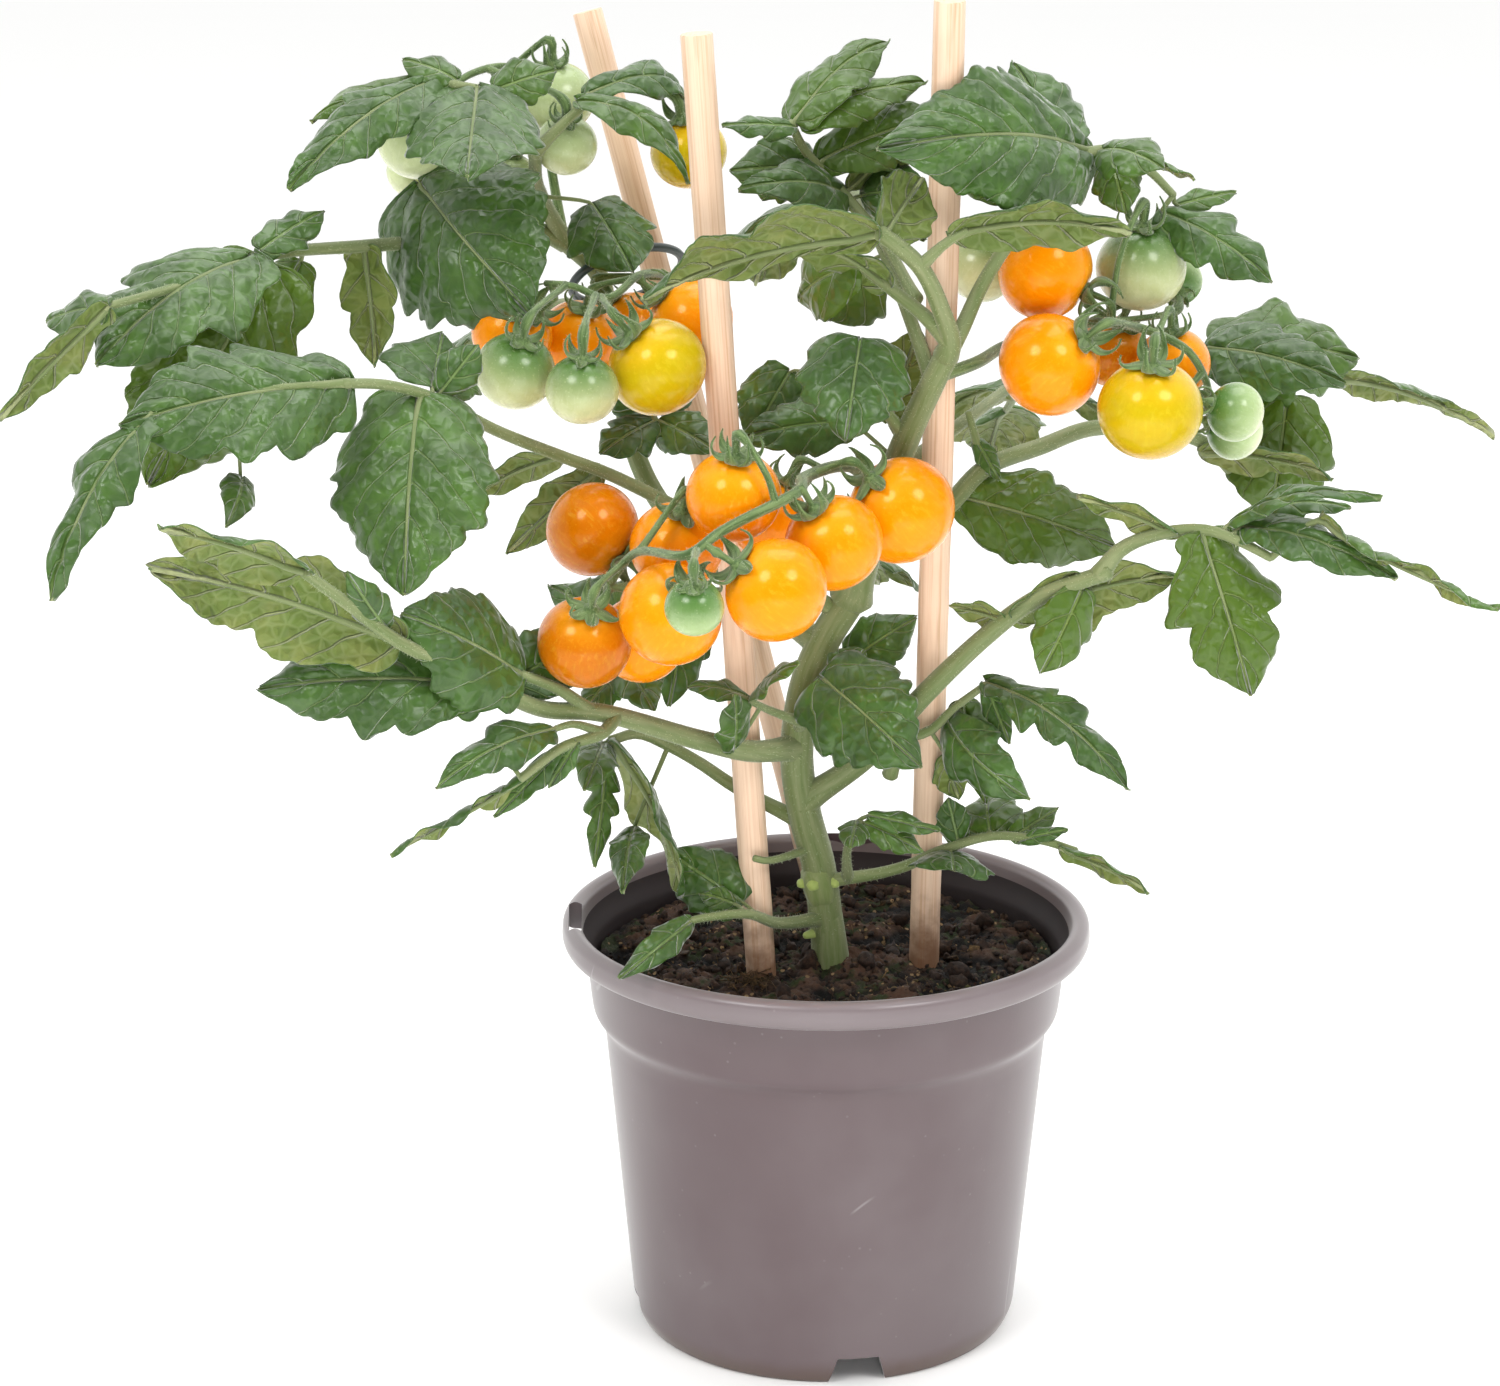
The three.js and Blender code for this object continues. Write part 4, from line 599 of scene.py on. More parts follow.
def smooth_line(route, step):
    """Evenly spaced points on the smooth curve through a route"""
    points = np.asarray(route, float)
    points = np.vstack([2 * points[0] - points[1], points, 2 * points[-1] - points[-2]])
    share = np.linspace(0, 1, 16, endpoint=False)[:, None]
    dense = []
    for a, b, c, d in zip(points, points[1:], points[2:], points[3:]):
        pairs = ((a, b), (b, c), (c, d))
        before, middle, after = (max(np.linalg.norm(q - p) ** 0.5, 0.01) for p, q in pairs)
        leave = middle * ((b - a) / before - (c - a) / (before + middle) + (c - b) / middle)
        arrive = middle * ((c - b) / middle - (d - b) / (middle + after) + (d - c) / after)
        cubic = 2 * (b - c) + leave + arrive
        square = 3 * (c - b) - 2 * leave - arrive
        dense.append(b + share * leave + share**2 * square + share**3 * cubic)
    dense = np.vstack([*dense, points[-2:-1]])
    return respaced(dense, step)


def distance_along(line):
    """How far each point of a line is from its start"""
    return np.concatenate([[0], np.cumsum(np.linalg.norm(np.diff(line, axis=0), axis=1))])


def arc(start, crest, end, share):
    """A place on the arc that leaves start towards a crest and turns to the end"""
    return start * (1 - share) ** 2 + crest * 2 * share * (1 - share) + end * share**2


def arc_heading(start, crest, end, share):
    """The way that the same arc heads"""
    return 2 * (crest - start) * (1 - share) + 2 * (end - crest) * share


def turned_up_to(direction):
    """The matrix that turns +Z to a direction"""
    return np.array(Vector((0, 0, 1)).rotation_difference(Vector(direction)).to_matrix())


def respaced(line, step):
    """The same line with points at even distances"""
    travelled = distance_along(line)
    count = max(2, int(round(travelled[-1] / step)))
    places = np.linspace(0, travelled[-1], count + 1)
    return np.stack([np.interp(places, travelled, line[:, axis]) for axis in range(3)], axis=1)


def frames_along(line, across=None):
    """Tangent, first and second cross direction at each point of a line, without any spin round it"""
    tangent = unit(np.gradient(line, axis=0))
    if across is not None:
        first = unit(across - np.sum(across * tangent, axis=1, keepdims=True) * tangent)
        return tangent, first, np.cross(tangent, first)
    start = np.cross(tangent[0], [0.0, 0.0, 1.0] if abs(tangent[0][2]) < 0.9 else [1.0, 0.0, 0.0])
    first = [unit(start)]
    for direction in tangent[1:]:
        carried = first[-1] - np.dot(first[-1], direction) * direction
        first.append(unit(carried))
    first = np.array(first)
    return tangent, first, np.cross(tangent, first)


def nearest_on(lines, target):
    """The point on some lines that is nearest to a place"""
    target = np.asarray(target, float)
    best = None
    for line in lines:
        span = line[1:] - line[:-1]
        squares = np.maximum(np.sum(span * span, axis=1), 1e-12)
        share = np.sum((target - line[:-1]) * span, axis=1) / squares
        spots = line[:-1] + np.clip(share, 0, 1)[:, None] * span
        gaps = np.linalg.norm(spots - target, axis=1)
        pick = int(np.argmin(gaps))
        if best is None or gaps[pick] < best[0]:
            best = (gaps[pick], spots[pick])
    return best[1]


def seeded_draws(state):
    """Repeatable draws between 0 and 1"""
    while True:
        state = (state * 1664525 + 1013904223) % 4294967296
        yield state / 4294967296


# ---- Meshes ----------------------------------------------------------------------------------------------


def new_shape():
    """An empty mesh with the two layers that the materials read"""
    shape = bmesh.new()
    shape.verts.layers.float_vector.new("form")
    shape.verts.layers.float.new("tone")
    return shape


def put(shape, verts, places, form=None, tone=0.0):
    """Moves vertices to places in millimetres and notes what their material reads"""
    form_layer = shape.verts.layers.float_vector["form"]
    tone_layer = shape.verts.layers.float["tone"]
    places = np.asarray(places, float) * MM
    tones = np.broadcast_to(np.asarray(tone, float), (len(verts),))
    for i, vert in enumerate(verts):
        vert.co = places[i]
        vert[tone_layer] = tones[i]
        if form is not None:
            vert[form_layer] = form[i]


def grid(shape, columns, rows):
    """A flat grid: its vertices, and the column and row share of each"""
    verts = bmesh.ops.create_grid(shape, x_segments=columns, y_segments=rows, size=0.5)["verts"]
    flat = np.array([v.co for v in verts])
    column = np.rint((flat[:, 0] + 0.5) * columns).astype(int)
    row = np.rint((flat[:, 1] + 0.5) * rows).astype(int)
    return verts, column, row


def set_material(verts, index):
    for face in {face for vert in verts for face in vert.link_faces}:
        face.material_index = index


def add_tube(
    shape, line, wide, sides, thin=None, across=None, ridges=0.0, material=0, tone=0.0, flat_ends=False
):
    """A stem along a line, closed at both ends. Its width may change, be flattened and have ridges."""
    line = np.asarray(line, float)
    wide = np.broadcast_to(np.asarray(wide, float), (len(line),)).copy()
    thin = wide if thin is None else np.broadcast_to(np.asarray(thin, float), (len(line),)).copy()
    tangent, first, second = frames_along(line, across)
    travelled = distance_along(line)
    round_end, shoulder = (0.1, 0.95) if flat_ends else (0.55, 0.72)
    before = [line[0] - tangent[0] * thin[0] * round_end * part for part in (1, 0.7)]
    after = [line[-1] + tangent[-1] * thin[-1] * round_end * part for part in (0.7, 1)]
    centres = np.vstack([*before, line, *after])
    pick = np.clip(np.arange(len(centres)) - 2, 0, len(line) - 1)
    scale = np.ones(len(centres))
    scale[[0, -1]] = 0
    scale[[1, -2]] = shoulder
    verts, column, row = grid(shape, sides, len(centres) - 1)
    angle = column * 2 * math.pi / sides
    bump = 1 + ridges * np.cos(5 * angle)
    reach = (scale[row] * wide[pick[row]] * bump * np.cos(angle))[:, None]
    lift = (scale[row] * thin[pick[row]] * bump * np.sin(angle))[:, None]
    places = centres[row] + first[pick[row]] * reach + second[pick[row]] * lift
    grain = np.stack([reach[:, 0], lift[:, 0], travelled[pick[row]]], axis=1) * MM
    put(shape, verts, places, grain, tone)
    set_material(verts, material)
    bmesh.ops.remove_doubles(shape, verts=verts, dist=1e-7)


def add_copies(shape, model, spots, axes, tones, material):
    """Copies of one small shape, each on its own three axes, made by doubling"""
    many = model.copy()
    corners = len(many.verts)
    outline = np.array([v.co for v in many.verts])
    while len(many.verts) < corners * len(spots):
        bmesh.ops.duplicate(many, geom=many.verts[:] + many.edges[:] + many.faces[:])
    bmesh.ops.delete(many, geom=many.verts[corners * len(spots) :], context="VERTS")
    places = spots[:, None, :] + np.einsum("ci,nij->ncj", outline, axes)
    put(many, many.verts[:], places.reshape(-1, 3), tone=np.repeat(tones, corners))
    for face in many.faces:
        face.material_index = material
    append(shape, many)


def add_hairs(shape, hairs, radius):
    """Thin cones that stand on stalks. Each stalk's hairs are their roots, directions and lengths."""
    roots, directions, lengths = (np.concatenate(part) for part in zip(*hairs))
    hair = new_shape()
    bmesh.ops.create_cone(hair, cap_ends=True, cap_tris=True, segments=3, radius1=1, radius2=0, depth=1)
    bmesh.ops.remove_doubles(hair, verts=hair.verts[:], dist=1e-4)
    bmesh.ops.translate(hair, verts=hair.verts[:], vec=(0, 0, 0.5))
    aim = unit(directions)
    side = unit(np.cross(aim, [0.3, 0.5, 0.81]))
    axes = np.stack([side * radius, np.cross(aim, side) * radius, aim * lengths[:, None]], axis=1)
    add_copies(shape, hair, roots, axes, np.zeros(len(roots)), HAIR)
    hair.free()


def append(shape, other):
    """Adds one mesh to another and frees it"""
    passing = bpy.data.meshes.new("passing")
    other.to_mesh(passing)
    other.free()
    shape.from_mesh(passing)
    bpy.data.meshes.remove(passing)


def fuzz(line, radius, density, longest, chance):
    """Roots, directions and lengths of the hair on a stalk"""
    tangent, first, second = frames_along(line)
    span = np.linalg.norm(np.diff(line, axis=0), axis=1).sum()
    count = int(span * density)
    place = np.array([chance.random() for _ in range(count)]) * (len(line) - 1)
    low = np.minimum(place.astype(int), len(line) - 2)
    part = (place - low)[:, None]
    angle = np.array([chance.random() for _ in range(count)])[:, None] * 2 * math.pi
    out = first[low] * np.cos(angle) + second[low] * np.sin(angle)
    radii = np.broadcast_to(radius, (len(line),))
    middle = line[low] * (1 - part) + line[low + 1] * part
    lean = np.array([chance.uniform(-0.5, 0.7) for _ in range(count)])[:, None]
    lengths = longest * np.array([chance.uniform(0.35, 1.0) for _ in range(count)])
    return middle + out * radii[low][:, None] * 0.95, out + tangent[low] * lean, lengths


def piece(name, shape, materials, slot, *nodes):
    """Makes an object of a finished mesh, gives it its materials and ties it to the packed model"""
    mesh = bpy.data.meshes.new(name)
    for face in shape.faces:
        face.smooth = True
    shape.to_mesh(mesh)
    shape.free()
    for material in materials:
        mesh.materials.append(material)
    made = bpy.data.objects.new(name, mesh)
    bpy.context.scene.collection.objects.link(made)
    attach(made, "root")
    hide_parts(*nodes)
    return made


def sharpen(made, degrees):
    """Keeps hard corners hard in a smooth-shaded piece"""
    made.data.set_sharp_from_angle(angle=math.radians(degrees))


# ---- Blades ----------------------------------------------------------------------------------------------


def tooth_share(along, teeth, depth, shift):
    """Share of the full half width that a notch leaves"""
    pitch = (TEETH_TO - TEETH_FROM) / teeth
    count = (along - TEETH_FROM) / pitch + shift
    inside = (count > TOOTH_PEAK - 1) & (count < teeth - 1 + TOOTH_PEAK)
    part = count % 1
    fill = np.where(part < TOOTH_PEAK, part / TOOTH_PEAK, (1 - part) / (1 - TOOTH_PEAK))
    return np.where(inside, 1 - depth * (1 - np.sin(fill * math.pi / 2)), 1)


def half_width(along, widest):
    """Half width of a plain oval blade that is widest at one place and pointed at its tip"""
    power = math.log(0.5) / math.log(widest)
    round_part = np.maximum(np.sin(math.pi * along**power), 0) ** 0.75
    return round_part * (1 - 0.35 * along**2) / (1 - 0.35 * widest**2)


def blade_edge(left, along, width, length, outline, chance):
    """Half width of a blade on each side, with its notches and scallops"""
    teeth, depth, _, widest = OUTLINES[outline]
    shifts = np.where(left, chance.uniform(-0.12, 0.06), chance.uniform(-0.06, 0.12))
    notches = tooth_share(along, teeth, depth * np.where(left, chance.uniform(0.8, 1.1), 1), shifts)
    scallops = max(round(length / SCALLOP_PITCH), 4)
    ripple = 0.13 if outline == "heart" else 0.06
    waves = np.abs(np.cos(scallops * math.pi * along + 0.6 * left)) ** 4
    fine = 1 - ripple * waves * np.minimum(along * 6, 1)
    half = 0.5 * width * length * half_width(along, widest) * notches * fine
    if outline == "sickle":
        half = np.where(left, half, half * SICKLE_RIGHT)
    return np.maximum(half, np.where(along < 1, 0.5, 0.08))


def blade_relief(left, along, x, half, phase, size, chance):
    """Height of a blade over its middle plane: pillows between the veins, the groove, waves and curl"""
    cross = np.abs(np.sin(math.pi * (x * half / NET_PITCH + 0.6 * np.floor(phase)))) ** 0.6
    puff = np.abs(np.sin(math.pi * phase)) ** 0.6
    pillow = size * puff * (0.9 + 0.6 * cross) * np.minimum(x * 5, 1) * (1 - 0.55 * x)
    edge = x * (1 - x) * 4
    pillow += 0.06 * half * edge
    groove = -0.5 * size * np.exp(-((x * half / 0.7) ** 2))
    waves = chance.uniform(1.2, 2.6)
    start_wave = chance.uniform(0, 6.28)
    swing = np.sin(along * math.pi * 2 * waves + start_wave + np.where(left, 1.3, 0))
    margin = 2.0 * size * x**3 * swing
    curl = -0.07 * half * x**4 * chance.uniform(0.2, 1.6)
    return pillow + groove + margin + curl


def rough_relief(places):
    """Unevenness of a blade: soft swells and small blisters"""
    rough = np.array([noise.noise(Vector(p * 0.11)) for p in places])
    cells = np.array([noise.voronoi(Vector(p * 0.28))[0][:2] for p in places])
    blister = np.sin(np.minimum(cells[:, 1] - cells[:, 0], 0.5) * math.pi)
    return 1.2 * rough + 0.3 * blister


def thicken(shape, verts, places, outward, thickness):
    """Gives a blade its underside, a thickness below the upper one, and closes its edge"""
    faces = list({face for vert in verts for face in vert.link_faces})
    edges = list({line for face in faces for line in face.edges})
    raised = bmesh.ops.extrude_face_region(shape, geom=verts + edges + faces, use_keep_orig=True)
    for i, vert in enumerate(verts):
        vert.co = (places[i] - outward[i] * thickness / MM) * MM
    for face in faces:
        face.material_index = UNDERSIDE
    top = [item for item in raised["geom"] if isinstance(item, bmesh.types.BMFace)]
    closed = {face for vert in verts for face in vert.link_faces} | set(top)
    bmesh.ops.recalc_face_normals(shape, faces=list(closed))


def add_blade(shape, blade, joint, tone, thickness, chance):
    """One leaflet: a thin toothed blade, pillowed between its veins, with its rib below it"""
    base, tip, facing, width, outline, arch = blade
    start, end = np.array(base, float), np.array(tip, float)
    length = np.linalg.norm(end - start)
    chord = (end - start) / length
    up = facing_vector(facing)
    up = unit(up - np.dot(up, chord) * chord)
    crest = (start + end) / 2 + up * 2 * arch * length
    side = np.cross(chord, up)
    rows = int(min(max(length * 1.25, 18), 80))
    columns = 2 * int(min(max(width * length * 0.5, 6), 22))
    verts, column, row = grid(shape, columns, rows)
    along = row / rows
    across = column / columns * 2 - 1
    left = across < 0
    share = along[:, None]
    rib = arc(start, crest, end, share)
    tangent = unit(arc_heading(start, crest, end, share))
    sideways = np.broadcast_to(side, rib.shape)
    normal = unit(np.cross(sideways, tangent))
    twist = (chance.uniform(-0.35, 0.35) * (along - 0.3))[:, None]
    sideways, normal = (
        sideways * np.cos(twist) + normal * np.sin(twist),
        normal * np.cos(twist) - sideways * np.sin(twist),
    )
    half = blade_edge(left, along, width, length, outline, chance)
    x = np.abs(across)
    drop = math.radians(OUTLINES[outline][2])
    shear = np.where(along < 0.25, -0.5 + 3 * along, 0.25 + (along - 0.25) * 0.13)
    veins = min(max(round(length / VEIN_PITCH), 3), 8)
    phase = veins * (along - 0.2 * x**1.2 * width / 0.6) + 0.12 + 0.12 * left
    size = min(length / QUILTED_LENGTH, 1.15)
    height = blade_relief(left, along, x, half, phase, size, chance) - x * half * math.sin(drop)
    lateral = across * half * math.cos(drop)
    places = rib + sideways * lateral[:, None] + tangent * (x * half * shear)[:, None]
    height = height + size * rough_relief(places) * np.minimum(x * 4, 1) * (1 - 0.4 * x)
    places = places + normal * height[:, None]
    surface = np.zeros((rows + 1, columns + 1, 3))
    surface[row, column] = places
    slope = np.cross(np.gradient(surface, axis=1), np.gradient(surface, axis=0))
    flat_way = np.zeros_like(surface)
    flat_way[row, column] = normal
    steep = np.linalg.norm(slope, axis=2, keepdims=True) > 1e-5
    outward = np.where(steep, unit(slope), flat_way)[row, column]
    form = np.stack([phase, x * half * 0.1, np.full(len(x), length / veins * 0.1)], axis=1)
    put(shape, verts, places, form, tone)
    thicken(shape, verts, places, outward, thickness)
    # the rib: from the stalk up to the blade, then below it nearly to the tip
    reach = np.linspace(0, 0.86, 8)[1:, None]
    sink = unit(np.cross(side, arc_heading(start, crest, end, reach)))
    under = arc(start, crest, end, reach) - sink * (0.45 + 0.35 * (1 - reach))
    route = [joint, start - up * 0.3, *under] if np.linalg.norm(start - joint) > 2 else [joint, *under]
    line = smooth_line(route, 2.5)
    share = np.linspace(0, 1, len(line))
    thick = min(max(length / 55, 0.5), 0.85)
    add_tube(shape, line, thick * (1 - share) ** 0.6 + 0.12, 7, material=STALK, tone=0.4)
    return line


def back_leaf(size, route, seed):
    """Blades of a leaf at the back, turned and sized by seeded draws"""
    draws = seeded_draws(seed)
    dense = smooth_line(route, 0.5)
    blades = []
    for along, spread, scale in ((0.62, 1, 0.8), (0.74, -1, 0.85), (1, 0, 1)):
        at = int(round(along * (len(dense) - 1)))
        base = dense[at]
        ahead = unit((dense[min(at + 1, len(dense) - 1)] - dense[max(at - 1, 0)]) * [1, 1, 0])
        side = np.array([ahead[1], -ahead[0], 0]) * spread
        reach = size * scale * (0.9 + 0.2 * next(draws))
        heading = ahead * (0.5 if spread else 0.9) + side * 0.85
        heading[2] = -0.35 - 0.3 * next(draws)
        tip = base + unit(heading) * reach
        up = np.array([side[0] * 0.3, side[1] * 0.3, 1]) + ahead * 0.5
        kind = ("broad", "lobed", "broad")[len(blades)]
        blades.append([list(base), list(tip), list(up), 0.66, kind, 0.1])
    return blades


def wood_lines():
    """The middle lines of the main stem and its branches"""
    return [smooth_line(route, 2) for _, _, route in STEMS]


def add_leaf(shape, stalks, blades, tones, plant, chance, sides=12, wood=()):
    """Stalks with their hair, and the blades that grow from them. Tones that aren't known are drawn."""
    lines = []
    hairs = []
    longest = plant.hair_length / MM
    for first, last, route in stalks:
        start = np.array(route[0], float)
        parents = lines or wood
        joint = nearest_on(parents, start) if parents else start
        from_point = joint if np.linalg.norm(joint - start) < JOIN_WITHIN else start
        line = smooth_line([from_point, *route[1:]], STALK_STEP)
        share = np.linspace(0, 1, len(line))
        radius = first + (last - first) * share
        radius = radius * (1 + 0.4 * np.exp(-share * len(line) * STALK_STEP / STALK_SWELLING))
        add_tube(shape, line, radius, sides, ridges=0.2 / sides, material=STALK, tone=0.15)
        lines.append(line)
        density = plant.hair_density * (0.7 + 0.2 * first)
        hairs.append(fuzz(line, radius, density, longest * min(0.55 + 0.12 * first, 1), chance))
    for number, blade in enumerate(blades):
        joint = nearest_on(lines, blade[0])
        tone = tones.get(number, chance.uniform(-0.45, 0.3))
        rib = add_blade(shape, blade, joint, tone, plant.leaf_thickness, chance)
        hairs.append(fuzz(rib, 0.5, plant.hair_density * 0.3, longest * 0.5, chance))
    add_hairs(shape, hairs, HAIR_RADIUS)


# ---- Materials -------------------------------------------------------------------------------------------


def feed(tree, socket, value):
    """Links a socket to another, or sets it"""
    if isinstance(value, bpy.types.NodeSocket):
        tree.links.new(value, socket)
    elif isinstance(value, (tuple, list)) and len(value) == 3 and socket.type == "RGBA":
        socket.default_value = (*value, 1)
    else:
        socket.default_value = value


def node(tree, kind, sockets=None, **settings):
    made = tree.nodes.new(kind)
    for name, value in settings.items():
        setattr(made, name, value)
    for name, value in (sockets or {}).items():
        feed(tree, made.inputs[name], value)
    return made


def maths(tree, operation, *values):
    made = node(tree, "ShaderNodeMath", operation=operation)
    for i, value in enumerate(values):
        feed(tree, made.inputs[i], value)
    return made.outputs[0]


def times(tree, first, second):
    return maths(tree, "MULTIPLY", first, second)


def axis_of(tree, vector, axis):
    return node(tree, "ShaderNodeSeparateXYZ", {"Vector": vector}).outputs[axis]


def form_of(tree):
    """What a mesh notes of its form at each point, as a vector"""
    return node(tree, "ShaderNodeAttribute", attribute_name="form").outputs["Vector"]


def tone_of(tree):
    """What a mesh notes of its shade at each point, as a number"""
    return node(tree, "ShaderNodeAttribute", attribute_name="tone").outputs["Fac"]


def blended(tree, share, first, second):
    """A colour between two others"""
    made = node(tree, "ShaderNodeMix", data_type="RGBA", clamp_factor=True)
    feed(tree, made.inputs[0], share)
    feed(tree, made.inputs[6], first)
    feed(tree, made.inputs[7], second)
    return made.outputs[2]


def ramp(tree, value, start, end, low=0.0, high=1.0):
    """A soft step from low to high while a value goes from start to end"""
    sockets = {"Value": value, "From Min": start, "From Max": end, "To Min": low, "To Max": high}
    made = node(tree, "ShaderNodeMapRange", sockets, interpolation_type="SMOOTHSTEP")
    return made.outputs["Result"]


def clouds(tree, place, scale, detail, roughness=0.55):
    """Soft noise between 0 and 1"""
    sockets = {"Vector": place, "Scale": scale, "Detail": detail, "Roughness": roughness}
    return node(tree, "ShaderNodeTexNoise", sockets).outputs["Fac"]


def own_place(tree):
    return tree.nodes.new("ShaderNodeTexCoord").outputs["Object"]


def group(name, inputs, outputs):
    """A node group with named inputs and outputs: the tree, its inputs' sockets and its outputs'"""
    tree = bpy.data.node_groups.new(name, "ShaderNodeTree")
    for label, default in inputs.items():
        colour = isinstance(default, tuple)
        kind = "NodeSocketColor" if colour else "NodeSocketFloat"
        socket = tree.interface.new_socket(name=label, in_out="INPUT", socket_type=kind)
        socket.default_value = (*default, 1) if colour else default
    for label in outputs:
        kind = "NodeSocketColor" if label == "Colour" else "NodeSocketFloat"
        tree.interface.new_socket(name=label, in_out="OUTPUT", socket_type=kind)
    return tree, tree.nodes.new("NodeGroupInput").outputs, tree.nodes.new("NodeGroupOutput").inputs


def leaf_pattern_group():
    """Ribs, side veins and the fine net of a blade, with painted shade or painted light shining through it by
    the blade's tone
    """
    tree, given, out = group(
        "Leaf Pattern",
        {
            "Ground": (0.03, 0.1, 0.03),
            "Shade": (0.02, 0.07, 0.02),
            "Glow": (0.15, 0.3, 0.05),
            "Vein": (0.3, 0.4, 0.2),
            "Glow Vein": (0.4, 0.5, 0.2),
            "Vein Share": 0.6,
            "Net Share": 0.3,
            "Relief": -1.0,
        },
        ["Colour", "Height", "Roughness"],
    )
    tone = tone_of(tree)
    parts = node(tree, "ShaderNodeSeparateXYZ", {"Vector": form_of(tree)}).outputs
    place = own_place(tree)
    wobble = times(tree, maths(tree, "SUBTRACT", clouds(tree, place, 190, 1), 0.5), 0.16)
    phase = maths(tree, "FRACT", maths(tree, "ADD", maths(tree, "ADD", parts["X"], 0.5), wobble))
    off = maths(tree, "ABSOLUTE", maths(tree, "SUBTRACT", phase, 0.5))
    side_gap = times(tree, off, parts["Z"])
    side_width = maths(tree, "SUBTRACT", 0.05, times(tree, parts["Y"], 0.016))
    side_vein = ramp(tree, side_gap, side_width, 0.008)
    middle_vein = ramp(tree, parts["Y"], 0.062, 0.02)
    veins = maths(tree, "MAXIMUM", times(tree, side_vein, 0.8), middle_vein)
    sockets = {"Vector": place, "Scale": 250.0, "Randomness": 0.9}
    cells = node(tree, "ShaderNodeTexVoronoi", sockets, feature="DISTANCE_TO_EDGE").outputs["Distance"]
    net = ramp(tree, cells, 0.13, 0.0)
    puff = ramp(tree, cells, 0.0, 0.5)
    patches = ramp(tree, clouds(tree, place, 110, 4), 0.35, 0.68)
    ground = blended(tree, patches, given["Shade"], given["Ground"])
    # painted shade: the middles of the small pillows are lifted toward Ground, so the creases between them
    # stay darker
    ground = blended(tree, times(tree, puff, 0.35), ground, given["Ground"])
    # painted shade and light: a negative tone darkens the blade toward Shade, a positive one paints light
    # shining through it with Glow and Glow Vein
    ground = blended(tree, times(tree, tone, -1.0), ground, given["Shade"])
    ground = blended(tree, tone, ground, given["Glow"])
    vein = blended(tree, tone, given["Vein"], given["Glow Vein"])
    veins_seen = times(tree, veins, given["Vein Share"])
    marks = maths(tree, "MAXIMUM", veins_seen, times(tree, net, given["Net Share"]))
    feed(tree, out["Colour"], blended(tree, marks, ground, vein))
    height = maths(tree, "MULTIPLY_ADD", veins, given["Relief"], times(tree, puff, 0.7))
    feed(tree, out["Height"], height)
    feed(tree, out["Roughness"], maths(tree, "MULTIPLY_ADD", patches, -0.12, 0.42))
    return tree


def grain_group():
    """Grain that runs along a stem or a stake"""
    tree, given, out = group(
        "Long Grain",
        {
            "Dark": (0.1, 0.1, 0.1),
            "Light": (0.5, 0.5, 0.5),
            "Fresh": (0.2, 0.4, 0.05),
            "Around": 900.0,
            "Along": 30.0,
            "Low": 0.35,
            "High": 0.65,
        },
        ["Colour", "Height"],
    )
    sockets = {"X": given["Around"], "Y": given["Around"], "Z": given["Along"]}
    drawn = node(tree, "ShaderNodeVectorMath", operation="MULTIPLY")
    feed(tree, drawn.inputs[0], form_of(tree))
    feed(tree, drawn.inputs[1], node(tree, "ShaderNodeCombineXYZ", sockets).outputs[0])
    lines = clouds(tree, drawn.outputs[0], 1.0, 5.0, 0.65)
    share = ramp(tree, lines, given["Low"], given["High"])
    grained = blended(tree, share, given["Dark"], given["Light"])
    fresh = ramp(tree, tone_of(tree), 0.5, 0.9)
    feed(tree, out["Colour"], blended(tree, fresh, grained, given["Fresh"]))
    feed(tree, out["Height"], lines)
    return tree


def skin_group():
    """Skin of a tomato: paler or deeper at its ends, faintly clouded and speckled"""
    tree, given, out = group(
        "Tomato Skin",
        {
            "Skin": (0.9, 0.4, 0.02),
            "Deep": (0.7, 0.2, 0.01),
            "Shoulder": (0.9, 0.5, 0.05),
            "Blossom End": (0.9, 0.5, 0.05),
            "Speckle": (1.0, 0.8, 0.3),
            "Shoulder From": 0.45,
            "Gloss": 0.24,
        },
        ["Colour", "Height", "Roughness"],
    )
    form = form_of(tree)
    up = axis_of(tree, form, "Z")
    place = own_place(tree)
    cloud = ramp(tree, clouds(tree, place, 70, 3), 0.3, 0.75)
    colour = blended(tree, times(tree, cloud, 0.7), given["Skin"], given["Deep"])
    sockets = {"Vector": form, "Scale": (7.0, 7.0, 0.6)}
    streaks = clouds(tree, node(tree, "ShaderNodeMapping", sockets).outputs[0], 2.2, 4)
    colour = blended(tree, ramp(tree, streaks, 0.5, 0.75, 0, 0.4), colour, given["Speckle"])
    colour = blended(tree, ramp(tree, up, given["Shoulder From"], 1.0), colour, given["Shoulder"])
    colour = blended(tree, ramp(tree, up, -0.2, -1.0, 0, 0.9), colour, given["Blossom End"])
    dots = node(tree, "ShaderNodeTexVoronoi", {"Vector": place, "Scale": 900.0}).outputs["Distance"]
    colour = blended(tree, ramp(tree, dots, 0.22, 0.08, 0, 0.22), colour, given["Speckle"])
    scar = ramp(tree, up, -0.9925, -0.997)
    feed(tree, out["Colour"], blended(tree, times(tree, scar, 0.8), colour, paint("6b4a22")))
    feed(tree, out["Height"], maths(tree, "MULTIPLY_ADD", scar, 0.5, clouds(tree, place, 260, 3)))
    smooth = maths(tree, "SUBTRACT", given["Gloss"], 0.06)
    rough = maths(tree, "MULTIPLY_ADD", clouds(tree, place, 420, 2), 0.12, smooth)
    feed(tree, out["Roughness"], maths(tree, "MULTIPLY_ADD", scar, 0.4, rough))
    return tree


